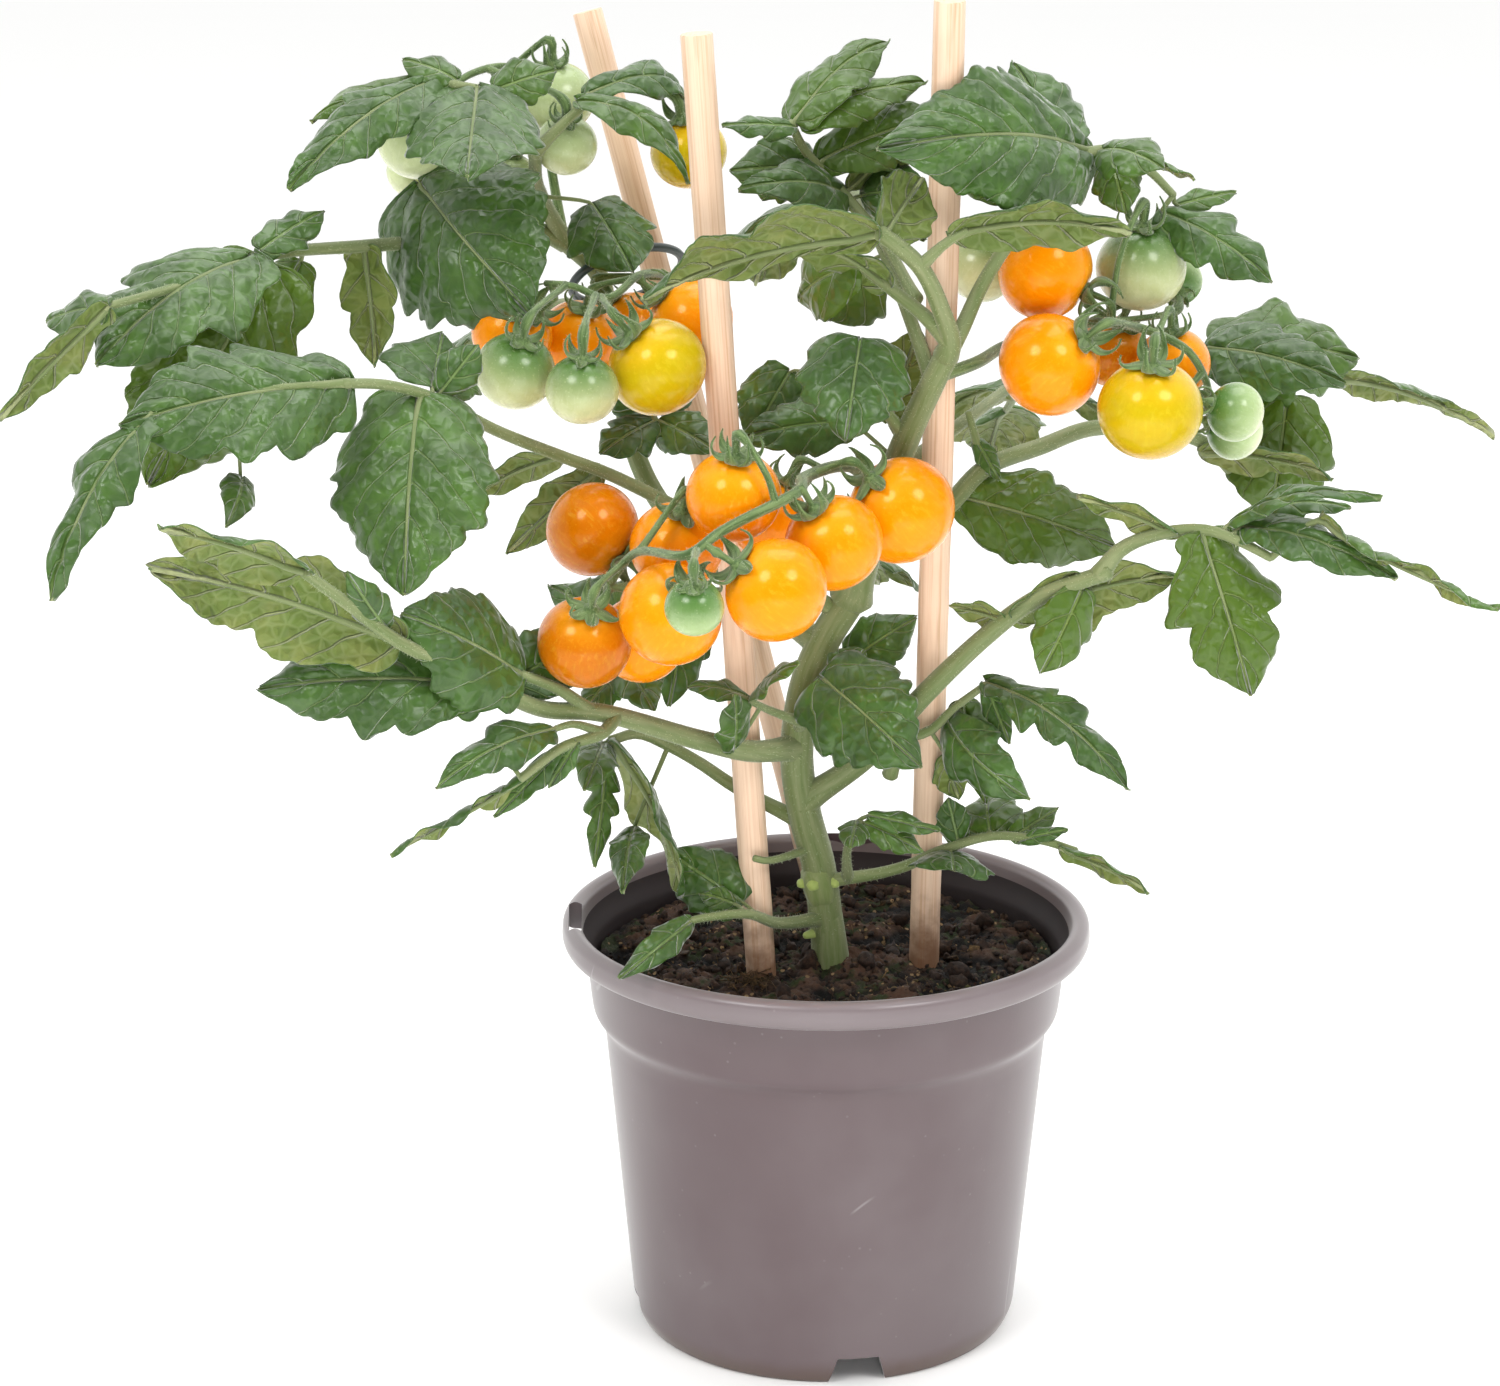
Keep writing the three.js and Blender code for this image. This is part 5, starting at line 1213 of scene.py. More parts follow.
def scuff_group():
    """Moulded plastic with faint clouds, dust specks and hair-fine scratches"""
    tree, given, out = group(
        "Scuffed Plastic",
        {
            "Plastic": (0.3, 0.25, 0.25),
            "Worn": (0.4, 0.36, 0.35),
            "Gloss": 0.42,
            "Scratches": 1.0,
            "Stain": 0.0,
        },
        ["Colour", "Height", "Roughness"],
    )
    place = own_place(tree)
    cloud = ramp(tree, clouds(tree, place, 14, 4), 0.3, 0.72)
    colour = blended(tree, times(tree, cloud, 0.22), given["Plastic"], given["Worn"])
    bend = clouds(tree, place, 11, 1, 0.3)
    hair = ramp(tree, maths(tree, "ABSOLUTE", maths(tree, "SUBTRACT", bend, 0.52)), 0.0035, 0.0008)
    few = ramp(tree, clouds(tree, place, 26, 2), 0.6, 0.66)
    scratch = times(tree, times(tree, hair, few), given["Scratches"])
    dust = node(tree, "ShaderNodeTexVoronoi", {"Vector": place, "Scale": 260.0}).outputs["Distance"]
    dusty = ramp(tree, clouds(tree, place, 40, 2), 0.5, 0.65)
    dust = times(tree, ramp(tree, dust, 0.12, 0.05), dusty)
    marks = maths(tree, "MAXIMUM", times(tree, scratch, 0.6), times(tree, dust, 0.3))
    level = maths(tree, "MULTIPLY_ADD", clouds(tree, place, 60, 4), -0.006, axis_of(tree, place, "Z"))
    stain = times(tree, ramp(tree, level, 0.004, -0.002), given["Stain"])
    worn = blended(tree, marks, colour, given["Worn"])
    feed(tree, out["Colour"], blended(tree, stain, worn, paint("4a3424")))
    fine = clouds(tree, place, 1500, 2)
    feed(tree, out["Height"], maths(tree, "MULTIPLY_ADD", scratch, -1.2, fine))
    feed(tree, out["Roughness"], maths(tree, "ADD", given["Gloss"], times(tree, cloud, 0.08)))
    return tree


GROUP_MAKERS = {
    "Leaf Pattern": leaf_pattern_group,
    "Long Grain": grain_group,
    "Tomato Skin": skin_group,
    "Scuffed Plastic": scuff_group,
}


def shared_group(name):
    return bpy.data.node_groups.get(name) or GROUP_MAKERS[name]()


def new_material(name):
    """A plain material: itself, its node tree and its shader"""
    made = bpy.data.materials.new(name)
    made.use_nodes = True
    return made, made.node_tree, made.node_tree.nodes["Principled BSDF"]


def finish_of(name, shader_values, group_name, group_values, bump, strength):
    """A material whose colour and relief come from one of the shared groups"""
    found = bpy.data.materials.get(name)
    if found:
        return found
    made, tree, shader = new_material(name)
    for label, value in shader_values.items():
        feed(tree, shader.inputs[label], value)
    look = node(tree, "ShaderNodeGroup", node_tree=shared_group(group_name))
    for label, value in group_values.items():
        feed(tree, look.inputs[label], value)
    tree.links.new(look.outputs["Colour"], shader.inputs["Base Color"])
    if "Roughness" in look.outputs:
        tree.links.new(look.outputs["Roughness"], shader.inputs["Roughness"])
    add_bump(tree, shader, look.outputs["Height"], bump, strength)
    return made


def add_bump(tree, shader, height, distance, strength):
    sockets = {"Height": height, "Distance": distance, "Strength": strength}
    tree.links.new(node(tree, "ShaderNodeBump", sockets).outputs["Normal"], shader.inputs["Normal"])


def mixed(first, second, share):
    """A plain colour between two plain colours"""
    return tuple(a + (b - a) * share for a, b in zip(first, second))


def leaf_materials(plant):
    """Upper side, underside, stalk and hair, in the order that every leaf uses"""
    upper = tuple(plant.upper_colour)
    under = tuple(plant.under_colour)
    glow = tuple(plant.glow_colour)
    vein = tuple(plant.vein_colour)
    stem = tuple(plant.stem_colour)
    # On both sides, Shade gives the random darker patches and the painted shade of a blade with a negative
    # tone, and Glow the painted light shining through a blade
    top = finish_of(
        "leaf_upper",
        {"Specular IOR Level": 0.5, "Sheen Weight": 0.4, "Sheen Roughness": 0.3},
        "Leaf Pattern",
        {
            "Ground": mixed(upper, vein, 0.07), "Shade": mixed(upper, (0, 0, 0), 0.42), "Glow": glow,
            "Vein": vein, "Glow Vein": mixed(glow, (1, 1, 0.4), 0.2),
            "Vein Share": 0.34, "Net Share": 0.04, "Relief": -0.7,
        },
        0.0007,
        1.0,
    )
    below = finish_of(
        "leaf_under",
        {"Specular IOR Level": 0.2, "Sheen Weight": 0.2, "Sheen Roughness": 0.35},
        "Leaf Pattern",
        {
            "Ground": under, "Shade": mixed(under, upper, 0.6), "Glow": mixed(glow, under, 0.35),
            "Vein": mixed(under, (1, 1, 0.8), 0.22), "Glow Vein": mixed(glow, (1, 1, 0.4), 0.35),
            "Vein Share": 0.6, "Net Share": 0.14, "Relief": 1.4,
        },
        0.0009,
        1.0,
    )
    stalk = finish_of(
        "stalk",
        {"Roughness": 0.55, "Sheen Weight": 0.15, "Specular IOR Level": 0.3},
        "Long Grain",
        {
            "Dark": mixed(stem, tuple(plant.young_colour), 0.6),
            "Light": mixed(stem, (0.75, 0.8, 0.55), 0.14),
            "Fresh": paint("a3b565"), "Around": 700.0, "Along": 60.0, "Low": 0.2, "High": 0.8,
        },
        0.00015,
        0.5,
    )
    return [top, below, stalk, hair_material(plant)]


def hair_material(plant):
    hair = tuple(plant.hair_colour)
    return finish_of(
        "fine_hair",
        {"Roughness": 0.5},
        "Scuffed Plastic",
        {"Plastic": hair, "Worn": mixed(hair, (1, 1, 1), 0.5), "Gloss": 0.5, "Scratches": 0.0},
        0.00002,
        0.2,
    )


def sepal_material(plant):
    young = tuple(plant.young_colour)
    return finish_of(
        "sepal",
        {"Roughness": 0.6, "Sheen Weight": 0.3, "Specular IOR Level": 0.3},
        "Long Grain",
        {
            "Dark": mixed(young, (0, 0.02, 0), 0.4), "Light": mixed(young, (0.7, 0.8, 0.4), 0.12),
            "Around": 1400.0, "Along": 120.0,
        },
        0.0002,
        0.5,
    )


def fruit_material(fruit, ripeness):
    """Skin of a tomato at one stage of ripeness"""
    skin = tuple(getattr(fruit, ripeness))
    ripe = ripeness in ("orange", "amber", "yellow")
    deep = mixed(skin, paint("ea8400") if ripe else paint("9bab72"), 0.45)
    if ripeness == "yellow":
        deep = mixed(skin, paint("c9a010"), 0.4)
    shoulder = mixed(skin, paint("ffb420"), 0.35) if ripe else mixed(skin, paint("3f6b26"), 0.95)
    if ripeness == "pale":
        shoulder = mixed(skin, paint("5f8540"), 0.5)
    blossom = mixed(skin, paint("f79a00"), 0.4) if ripe else mixed(skin, paint("e6e8c6"), 0.75)
    return finish_of(
        "tomato_skin_" + ripeness,
        {
            "Specular IOR Level": 0.4, "Specular Tint": (1, 0.7, 0.12, 1) if ripe else (1, 1, 0.9, 1),
            "Coat Weight": 0.3, "Coat Roughness": 0.13,
            "Subsurface Weight": 0.12, "Subsurface Scale": 1.0,
            "Subsurface Radius": (0.004, 0.002, 0.0006) if ripe else (0.002, 0.002, 0.001),
        },
        "Tomato Skin",
        {
            "Skin": skin, "Deep": deep, "Shoulder": shoulder, "Blossom End": blossom,
            "Speckle": mixed(skin, (1, 0.9, 0.1) if ripe else (1, 1, 0.75), 0.3), "Gloss": fruit.roughness,
            "Shoulder From": 0.45 if ripe else -0.4,
        },
        0.00006,
        0.3,
    )


def soil_material(pot):
    """Damp crumbs, from near black to husk and moss by the crumb's tone, on a bed with painted shade that
    darkens its hollows nearly to black
    """
    found = bpy.data.materials.get("potting_soil")
    if found:
        return found
    made, tree, shader = new_material("potting_soil")
    dark = tuple(pot.soil_colour)
    fleck = tuple(pot.fleck_colour)
    brown = paint("7d5c48")
    place = own_place(tree)
    height = maths(tree, "SUBTRACT", axis_of(tree, form_of(tree), "X"), 0.25)
    height = maths(tree, "MULTIPLY_ADD", clouds(tree, place, 260, 5, 0.7), 0.5, height)
    # painted shade: the bed's low hollows go nearly black and its raised parts brown
    raised = ramp(tree, height, 0.42, 0.95)
    base = blended(tree, raised, mixed(dark, (0, 0, 0), 0.92), mixed(dark, brown, 0.45))
    moss = times(tree, ramp(tree, clouds(tree, place, 130, 5), 0.5, 0.62), ramp(tree, height, 0.2, 0.5))
    base = blended(tree, moss, base, paint("2f3a1a"))
    dots = node(tree, "ShaderNodeTexVoronoi", {"Vector": place, "Scale": 620.0}).outputs
    pick = axis_of(tree, dots["Color"], "X")
    grain = times(tree, ramp(tree, dots["Distance"], 0.42, 0.3), ramp(tree, pick, 0.84, 0.88))
    base = blended(tree, grain, base, blended(tree, pick, mixed(dark, fleck, 0.5), paint("a08460")))
    tone = tone_of(tree)
    colours = node(tree, "ShaderNodeValToRGB", {"Fac": tone})
    stops = [
        (0.0, mixed(dark, (0, 0, 0), 0.4)), (0.45, mixed(dark, brown, 0.3)), (0.64, paint("5c4434")),
        (0.84, mixed(dark, fleck, 0.6)), (0.92, fleck), (0.96, paint("a5855a")), (1.0, paint("42561f")),
    ]
    ladder = colours.color_ramp.elements
    ladder[0].position, ladder[1].position = stops[0][0], stops[-1][0]
    ladder[0].color, ladder[1].color = (*stops[0][1], 1), (*stops[-1][1], 1)
    for at, colour in stops[1:-1]:
        ladder.new(at).color = (*colour, 1)
    crumb = maths(tree, "GREATER_THAN", tone, 0.001)
    grit = ramp(tree, clouds(tree, place, 700, 4), 0.3, 0.65, 0.1, 0.75)
    lump = blended(tree, grit, colours.outputs["Color"], mixed(dark, (0, 0, 0), 0.7))
    feed(tree, shader.inputs["Base Color"], blended(tree, crumb, base, lump))
    feed(tree, shader.inputs["Roughness"], ramp(tree, clouds(tree, place, 90, 3), 0.35, 0.7, 0.55, 0.95))
    shader.inputs["Specular IOR Level"].default_value = 0.35
    add_bump(tree, shader, clouds(tree, place, 430, 8, 0.75), 0.0022, 1.0)
    return made


def stake_material(pot):
    """Pale split bamboo: fine fibres, with some stretches stained darker"""
    found = bpy.data.materials.get("split_bamboo")
    if found:
        return found
    colour = tuple(pot.stake_colour)
    made = finish_of(
        "split_bamboo",
        {"Roughness": 0.5, "Specular IOR Level": 0.3},
        "Long Grain",
        {
            "Dark": mixed(colour, paint("b08055"), 0.32), "Light": mixed(colour, (1, 0.9, 0.76), 0.2),
            "Around": 1500.0, "Along": 12.0, "Low": 0.3, "High": 0.56,
        },
        0.00018,
        0.6,
    )
    tree = made.node_tree
    shader = tree.nodes["Principled BSDF"]
    plain = shader.inputs["Base Color"].links[0].from_socket
    sockets = {"Vector": form_of(tree), "Scale": (260.0, 260.0, 26.0)}
    drawn = node(tree, "ShaderNodeMapping", sockets).outputs[0]
    stain = ramp(tree, clouds(tree, drawn, 1.0, 3), 0.56, 0.72, 0, 0.3)
    stained = blended(tree, stain, plain, paint("9a6f43"))
    place = own_place(tree)
    wet = maths(tree, "MULTIPLY_ADD", clouds(tree, place, 160, 4), 0.03, axis_of(tree, place, "Z"))
    soiled = ramp(tree, wet, 0.136, 0.114, 0, 0.85)
    feed(tree, shader.inputs["Base Color"], blended(tree, soiled, stained, paint("6b4428")))
    return made


# ---- Pieces ----------------------------------------------------------------------------------------------


def rounded(profile):
    """A profile with its corners rounded"""
    line = [np.array(profile[0][:2], float)]
    for before, corner, after in zip(profile, profile[1:], profile[2:]):
        at = np.array(corner[:2], float)
        back, ahead = np.array(before[:2], float) - at, np.array(after[:2], float) - at
        if corner[2] == 0:
            line.append(at)
            continue
        reach = min(corner[2], 0.45 * np.linalg.norm(back), 0.45 * np.linalg.norm(ahead))
        start, end = at + unit(back) * reach, at + unit(ahead) * reach
        line += [arc(start, at, end, share) for share in np.linspace(0, 1, CORNER_POINTS)]
    line.append(np.array(profile[-1][:2], float))
    return line


def lathed(profile, segments):
    """A closed body turned round the pot's axis"""
    shape = new_shape()
    verts = [shape.verts.new((radius * MM, 0, height * MM)) for radius, height in profile]
    edges = [shape.edges.new(pair) for pair in zip(verts, verts[1:])]
    bmesh.ops.spin(
        shape, geom=verts + edges, cent=(0, 0, 0), axis=(0, 0, 1), dvec=(0, 0, 0), angle=2 * math.pi,
        steps=segments, use_merge=True, use_duplicate=False,
    )
    bmesh.ops.remove_doubles(shape, verts=shape.verts[:], dist=1e-6)
    bmesh.ops.recalc_face_normals(shape, faces=shape.faces[:])
    return shape


def wall_box(cutter, size, circle, level, bearing, taper=1.0):
    """A box across the pot's wall, its width, depth and height given, turned round the axis to a bearing"""
    width, depth, height = size
    turn = math.radians(bearing)
    for vert in bmesh.ops.create_cube(cutter, size=1)["verts"]:
        narrow = taper if vert.co.z > 0 else 1
        x, y, z = vert.co.x * width * narrow, vert.co.y * depth - circle, vert.co.z * height + level
        across = x * math.cos(turn) - y * math.sin(turn)
        back = x * math.sin(turn) + y * math.cos(turn)
        vert.co = Vector((across, back, z)) * MM


def cut(made, cutter):
    """Takes a cutter's shape out of a piece for good"""
    mesh = bpy.data.meshes.new("cutter")
    cutter.to_mesh(mesh)
    cutter.free()
    holder = bpy.data.objects.new("cutter", mesh)
    bpy.context.scene.collection.objects.link(holder)
    modifier = made.modifiers.new("cut", "BOOLEAN")
    modifier.object = holder
    modifier.operation = "DIFFERENCE"
    modifier.solver = "EXACT"
    bpy.context.view_layer.update()
    result = bpy.data.meshes.new_from_object(made.evaluated_get(bpy.context.evaluated_depsgraph_get()))
    made.modifiers.clear()
    made.data = result
    bpy.data.objects.remove(holder)


class TOMATO_OT_make_pot(bpy.types.Operator):
    """Turns the moulded pot, and cuts its foot notches, drain holes and hanger slots"""

    bl_idname = "tomato.make_pot"
    bl_label = "Make Pot"
    bl_options = {"REGISTER", "UNDO"}

    def execute(self, context):
        pot = context.scene.tomato_pot
        shape = lathed(rounded(POT_OUTSIDE + POT_INSIDE), pot.segments)
        for face in shape.faces:
            middle = face.calc_center_median() / MM
            inward = face.normal.x * middle.x + face.normal.y * middle.y < 0
            floor = face.normal.z > 0.5 and middle.z < FLOOR_BELOW
            face.material_index = int((inward and middle.z < INSIDE_BELOW) or floor)
            if not face.material_index and middle.z > LIP_FROM:
                face.material_index = 2
        made = piece("pot_moulded", shape, self.plastics(pot), "pot", "pot")
        cut(made, self.openings())
        sharpen(made, 40)
        return {"FINISHED"}

    def plastics(self, pot):
        """The outer plastic, the darker inside, and the lip's plastic with its painted highlight, in the
        order that the pot's faces use
        """
        colour = tuple(pot.pot_colour)
        inside = tuple(pot.pot_inside)
        # painted highlight: the lip is painted a little lighter than the body, for the light that falls on
        # its rounded top
        edge = mixed(colour, (1, 0.95, 0.96), 0.07)
        looks = {
            "pot_plastic": [
                {"Specular IOR Level": 0.75, "Sheen Weight": 0.25, "Sheen Roughness": 0.3},
                {"Plastic": colour, "Worn": mixed(colour, (1, 1, 1), 0.2), "Gloss": 0.28, "Stain": 0.7},
            ],
            # the inside is given a darker colour than the outside
            "pot_inner_plastic": [
                {"Specular IOR Level": 0.4},
                {"Plastic": inside, "Worn": mixed(inside, colour, 0.5), "Gloss": 0.55},
            ],
            "pot_lip_plastic": [
                {"Specular IOR Level": 0.8, "Sheen Weight": 0.4, "Sheen Roughness": 0.3},
                {"Plastic": edge, "Worn": mixed(colour, (1, 1, 1), 0.24), "Gloss": 0.32},
            ],
        }
        return [
            finish_of(name, shader, "Scuffed Plastic", plastic, 0.00003, 0.35)
            for name, (shader, plastic) in looks.items()
        ]

    def openings(self):
        """The shape that is cut out of the pot"""
        cutter = bmesh.new()
        notch, slot, hole = FOOT_NOTCH, HANGER_SLOT, DRAIN_HOLE
        for i in range(notch["count"]):
            bearing = notch["first"] + i * 360 / notch["count"]
            size = (notch["bottom"], notch["depth"], 2 * notch["height"])
            wall_box(cutter, size, notch["circle"], 0, bearing, notch["top"] / notch["bottom"])
        for bearing in slot["bearings"]:
            size = (slot["length"], slot["width"], slot["height"])
            wall_box(cutter, size, slot["circle"], slot["middle"], bearing)
        radius = hole["radius"] * MM
        for i in range(hole["count"] + 1):
            verts = bmesh.ops.create_cone(
                cutter, cap_ends=True, segments=24, radius1=radius, radius2=radius, depth=hole["depth"] * MM,
            )["verts"]
            turn = i * 2 * math.pi / hole["count"] + math.pi / 4
            circle = hole["circle"] * MM if i < hole["count"] else 0
            place = (circle * math.cos(turn), circle * math.sin(turn), POT_FLOOR * MM)
            bmesh.ops.translate(cutter, verts=verts, vec=place)
        return cutter


class TOMATO_OT_make_soil(bpy.types.Operator):
    """Fills the pot with potting soil, with crumbs, husks and fibres lying on it"""

    bl_idname = "tomato.make_soil"
    bl_label = "Make Soil"
    bl_options = {"REGISTER", "UNDO"}

    def execute(self, context):
        pot = context.scene.tomato_pot
        chance = random.Random(5)
        shape = new_shape()
        rings = np.linspace(SOIL_RADIUS - 0.4, 0, SOIL_RINGS)
        verts, column, row = grid(shape, SOIL_SEGMENTS, len(SOIL_WALL) + len(rings) - 1)
        radius = np.array([r for r, _ in SOIL_WALL] + list(rings))[row]
        angle = column * 2 * math.pi / SOIL_SEGMENTS
        places = np.stack([radius * np.cos(angle), radius * np.sin(angle), np.zeros(len(verts))], axis=1)
        for i, place in enumerate(places):
            place[2] = SOIL_WALL[row[i]][1] if row[i] < len(SOIL_WALL) else self.level(place[0], place[1])
        height = np.clip((places[:, 2] - SOIL_LEVEL + 2.2) / 4.4, 0, 1)
        put(shape, verts, places, np.stack([height, height, height], axis=1))
        bmesh.ops.remove_doubles(shape, verts=verts, dist=1e-7)
        bmesh.ops.recalc_face_normals(shape, faces=shape.faces[:])
        crumb = self.lump(1, 0.2)
        clumps = pot.clump_count
        self.scatter(shape, crumb, 2 * clumps, chance, 0.2, 0.95, (0.02, 0.6))
        self.scatter(shape, crumb, clumps // 5, chance, 0.3, 1.2, (0.62, 0.95))
        self.scatter(shape, crumb, clumps // 5, chance, 0.2, 0.8, (0.965, 1.0), spot=MOSSY_SPOT)
        crumb.free()
        clod = self.lump(2, 0.85)
        self.scatter(shape, clod, clumps // 4, chance, 0.7, 2.6, (0.3, 0.6), 0.8)
        clod.free()
        chip = new_shape()
        bmesh.ops.create_cube(chip, size=1.3)
        self.scatter(shape, chip, clumps // 8, chance, 0.5, 1.7, (0.66, 0.9), 0.25)
        chip.free()
        self.fibres(shape, chance)
        piece("soil_bed", shape, [soil_material(pot)], "soil", "soil")
        return {"FINISHED"}

    def level(self, x, y):
        """Height of the soil's surface"""
        spot = Vector((x, y, 0))
        rough = noise.noise(spot * 0.045) * 2.2 + noise.noise(spot * 0.13) * 1.3
        clods = 0.0
        for scale, height in ((0.11, 2.3), (0.27, 1.1)):
            nearest = noise.voronoi(spot * scale + Vector((3.1, 1.7, 0)))[0][0]
            clods += height * (0.55 - min(nearest, 1.1) ** 2 * 1.4)
        fine = noise.noise(spot * 0.5) * 1.1 + noise.noise(spot * 1.1) * 0.7
        mound = 2.0 * math.exp(-((x - 1) ** 2 + (y + 5) ** 2) / 160)
        heap = mound - 0.5 * (math.hypot(x, y) / SOIL_RADIUS) ** 6
        return SOIL_LEVEL + max(min(rough + clods + fine + heap, 4), -3)

    def lump(self, subdivisions, roughness):
        """A lumpy crumb of soil of radius one"""
        made = new_shape()
        verts = bmesh.ops.create_icosphere(made, subdivisions=subdivisions, radius=1)["verts"]
        for vert in verts:
            bulge = noise.noise(vert.co * 2.6 + Vector((subdivisions, 4, 2)))
            vert.co = vert.co * (1 + roughness * bulge)
        return made

    def scatter(self, shape, model, count, chance, small, large, tones, flat=0.7, spot=None):
        """Strews copies of a shape over the whole soil, or round one spot"""
        spots, axes, shades = [], [], []
        for _ in range(count):
            radius = (SOIL_RADIUS - 2.5) * math.sqrt(chance.random())
            turn = chance.uniform(0, 2 * math.pi)
            x, y = radius * math.cos(turn), radius * math.sin(turn)
            if spot:
                x, y = chance.gauss(spot[0], spot[2]), chance.gauss(spot[1], spot[2] / 2)
            size = small + (large - small) * chance.random() ** 2.5
            if math.hypot(x, y) > SOIL_RADIUS - 1.5 - size:
                continue
            frame_of = unit(np.array([[chance.gauss(0, 1) for _ in range(3)] for _ in range(2)]))
            first = frame_of[0]
            second = unit(np.cross(first, frame_of[1]))
            third = np.cross(first, second)
            axes.append([first * size * 1.3, second * size, third * size * flat])
            spots.append([x, y, self.level(x, y) + size * 0.25])
            shades.append(chance.uniform(*tones))
        add_copies(shape, model, np.array(spots), np.array(axes), np.array(shades), 0)

    def fibres(self, shape, chance):
        """A tuft of coir at the left stake's foot and single fibres elsewhere"""
        model = new_shape()
        bmesh.ops.create_cone(
            model, cap_ends=True, cap_tris=True, segments=3, radius1=1, radius2=0.4, depth=1
        )
        spots, axes, shades = [], [], []
        for i in range(FIBRES):
            near = i < TUFT_FIBRES
            x = chance.gauss(-20, 3.5) if near else chance.uniform(-50, 50)
            y = chance.gauss(-22, 2.2) if near else chance.uniform(-50, 50)
            if math.hypot(x, y) > SOIL_RADIUS - 6:
                continue
            aim = unit([chance.gauss(0, 1), chance.gauss(0, 1), chance.gauss(0.2, 0.5)])
            side = unit(np.cross(aim, [0.2, 0.1, 1]))
            size = chance.uniform(0.08, 0.22)
            axes.append([side * size, np.cross(aim, side) * size, aim * chance.uniform(2, 6)])
            spots.append([x, y, self.level(x, y) + 0.8 + (chance.random() * 1.8 if near else 0)])
            shades.append(chance.uniform(0.84, 0.95) if near else chance.uniform(0.72, 0.93))
        add_copies(shape, model, np.array(spots), np.array(axes), np.array(shades), 0)
        model.free()


class TOMATO_OT_make_stakes(bpy.types.Operator):
    """Makes the three bamboo stakes"""

    bl_idname = "tomato.make_stakes"
    bl_label = "Make Stakes"
    bl_options = {"REGISTER", "UNDO"}

    def execute(self, context):
        pot = context.scene.tomato_pot
        radius = pot.stake_radius / MM
        chance = random.Random(8)
        for name, (foot, top) in STAKES.items():
            foot, top = np.array(foot, float), np.array(top, float)
            bottom = foot - unit(top - foot) * STAKE_DEPTH
            line = respaced(np.array([bottom, top]), 9)
            width = radius * np.array([chance.uniform(0.965, 1.0) for _ in line])
            shape = new_shape()
            add_tube(shape, line, width, 28, ridges=0.012, flat_ends=True)
            made = piece(name + "_dowel", shape, [stake_material(pot)], "bamboo", name)
            sharpen(made, 45)
        return {"FINISHED"}


class TOMATO_OT_make_clip(bpy.types.Operator):
    """Makes the plastic ring that ties the stem to the back stake"""

    bl_idname = "tomato.make_clip"
    bl_label = "Make Clip"
    bl_options = {"REGISTER", "UNDO"}

    def execute(self, context):
        pot = context.scene.tomato_pot
        shape = new_shape()
        verts, column, row = grid(shape, CLIP["segments"], CLIP["sides"])
        around = column * 2 * math.pi / CLIP["segments"]
        section = row * 2 * math.pi / CLIP["sides"]
        reach = CLIP["wire"] * np.cos(section)
        x = (CLIP["half_length"] + reach) * np.cos(around)
        y = (CLIP["half_width"] + reach) * np.sin(around)
        z = -CLIP["wire"] * np.sin(section)
        tilt, turn = math.radians(CLIP["tilt"]), math.radians(CLIP["turn"])
        y, z = y * math.cos(tilt) - z * math.sin(tilt), y * math.sin(tilt) + z * math.cos(tilt)
        x, y = x * math.cos(turn) - y * math.sin(turn), x * math.sin(turn) + y * math.cos(turn)
        put(shape, verts, np.stack([x, y, z], axis=1) + np.array(CLIP["centre"]))
        bmesh.ops.remove_doubles(shape, verts=verts, dist=1e-7)
        bmesh.ops.recalc_face_normals(shape, faces=shape.faces[:])
        colour = tuple(pot.clip_colour)
        plastic = finish_of(
            "clip_plastic",
            {"Specular IOR Level": 0.5},
            "Scuffed Plastic",
            {"Plastic": colour, "Worn": mixed(colour, (1, 1, 1), 0.2), "Gloss": 0.3, "Scratches": 0.3},
            0.00003,
            0.4,
        )
        piece("clip_ring", shape, [plastic], "clip", "clip")
        return {"FINISHED"}


class TOMATO_OT_make_stem(bpy.types.Operator):
    """Grows the main stem with its branches, the small inner leaves and the leaves at the back"""

    bl_idname = "tomato.make_stem"
    bl_label = "Make Stem"
    bl_options = {"REGISTER", "UNDO"}

    def execute(self, context):
        plant = context.scene.tomato_plant
        chance = random.Random(2)
        shape = new_shape()
        stalks = [list(stem) for stem in STEMS]
        blades = []
        tones = {}
        for name, leaf in STEM_LEAVES.items():
            tones.update({len(blades) + number: tone for number, tone in TONES.get(name, {}).items()})
            stalks += leaf["stalks"]
            blades += leaf["blades"]
        for seed, (first, last, size, route) in enumerate(BACK_LEAVES):
            stalks.append([first, last, route])
            blades += back_leaf(size, route, seed + 1)
        add_leaf(shape, stalks, blades, tones, plant, chance, sides=18)
        base = smooth_line(STEM_FOOT, 1)
        flare = 6.6 - 2.6 * np.linspace(0, 1, len(base)) ** 0.8
        add_tube(shape, base, flare, 18, ridges=0.03, material=STALK)
        add_tube(shape, SCAR_LINE, SCAR_RADII, 24, ridges=0.07, material=STALK, tone=0.6)
        for start, end, thick in BUDS:
            bud = smooth_line([start, (np.array(start) + end) / 2 + [0, 0, 0.6], end], 0.6)
            width = thick * np.cos(np.linspace(0, 1.2, len(bud))) ** 0.5
            add_tube(shape, bud, width, 12, ridges=0.06, material=STALK, tone=0.9)
        piece("stem_grown", shape, leaf_materials(plant), "stem", "stem")
        return {"FINISHED"}


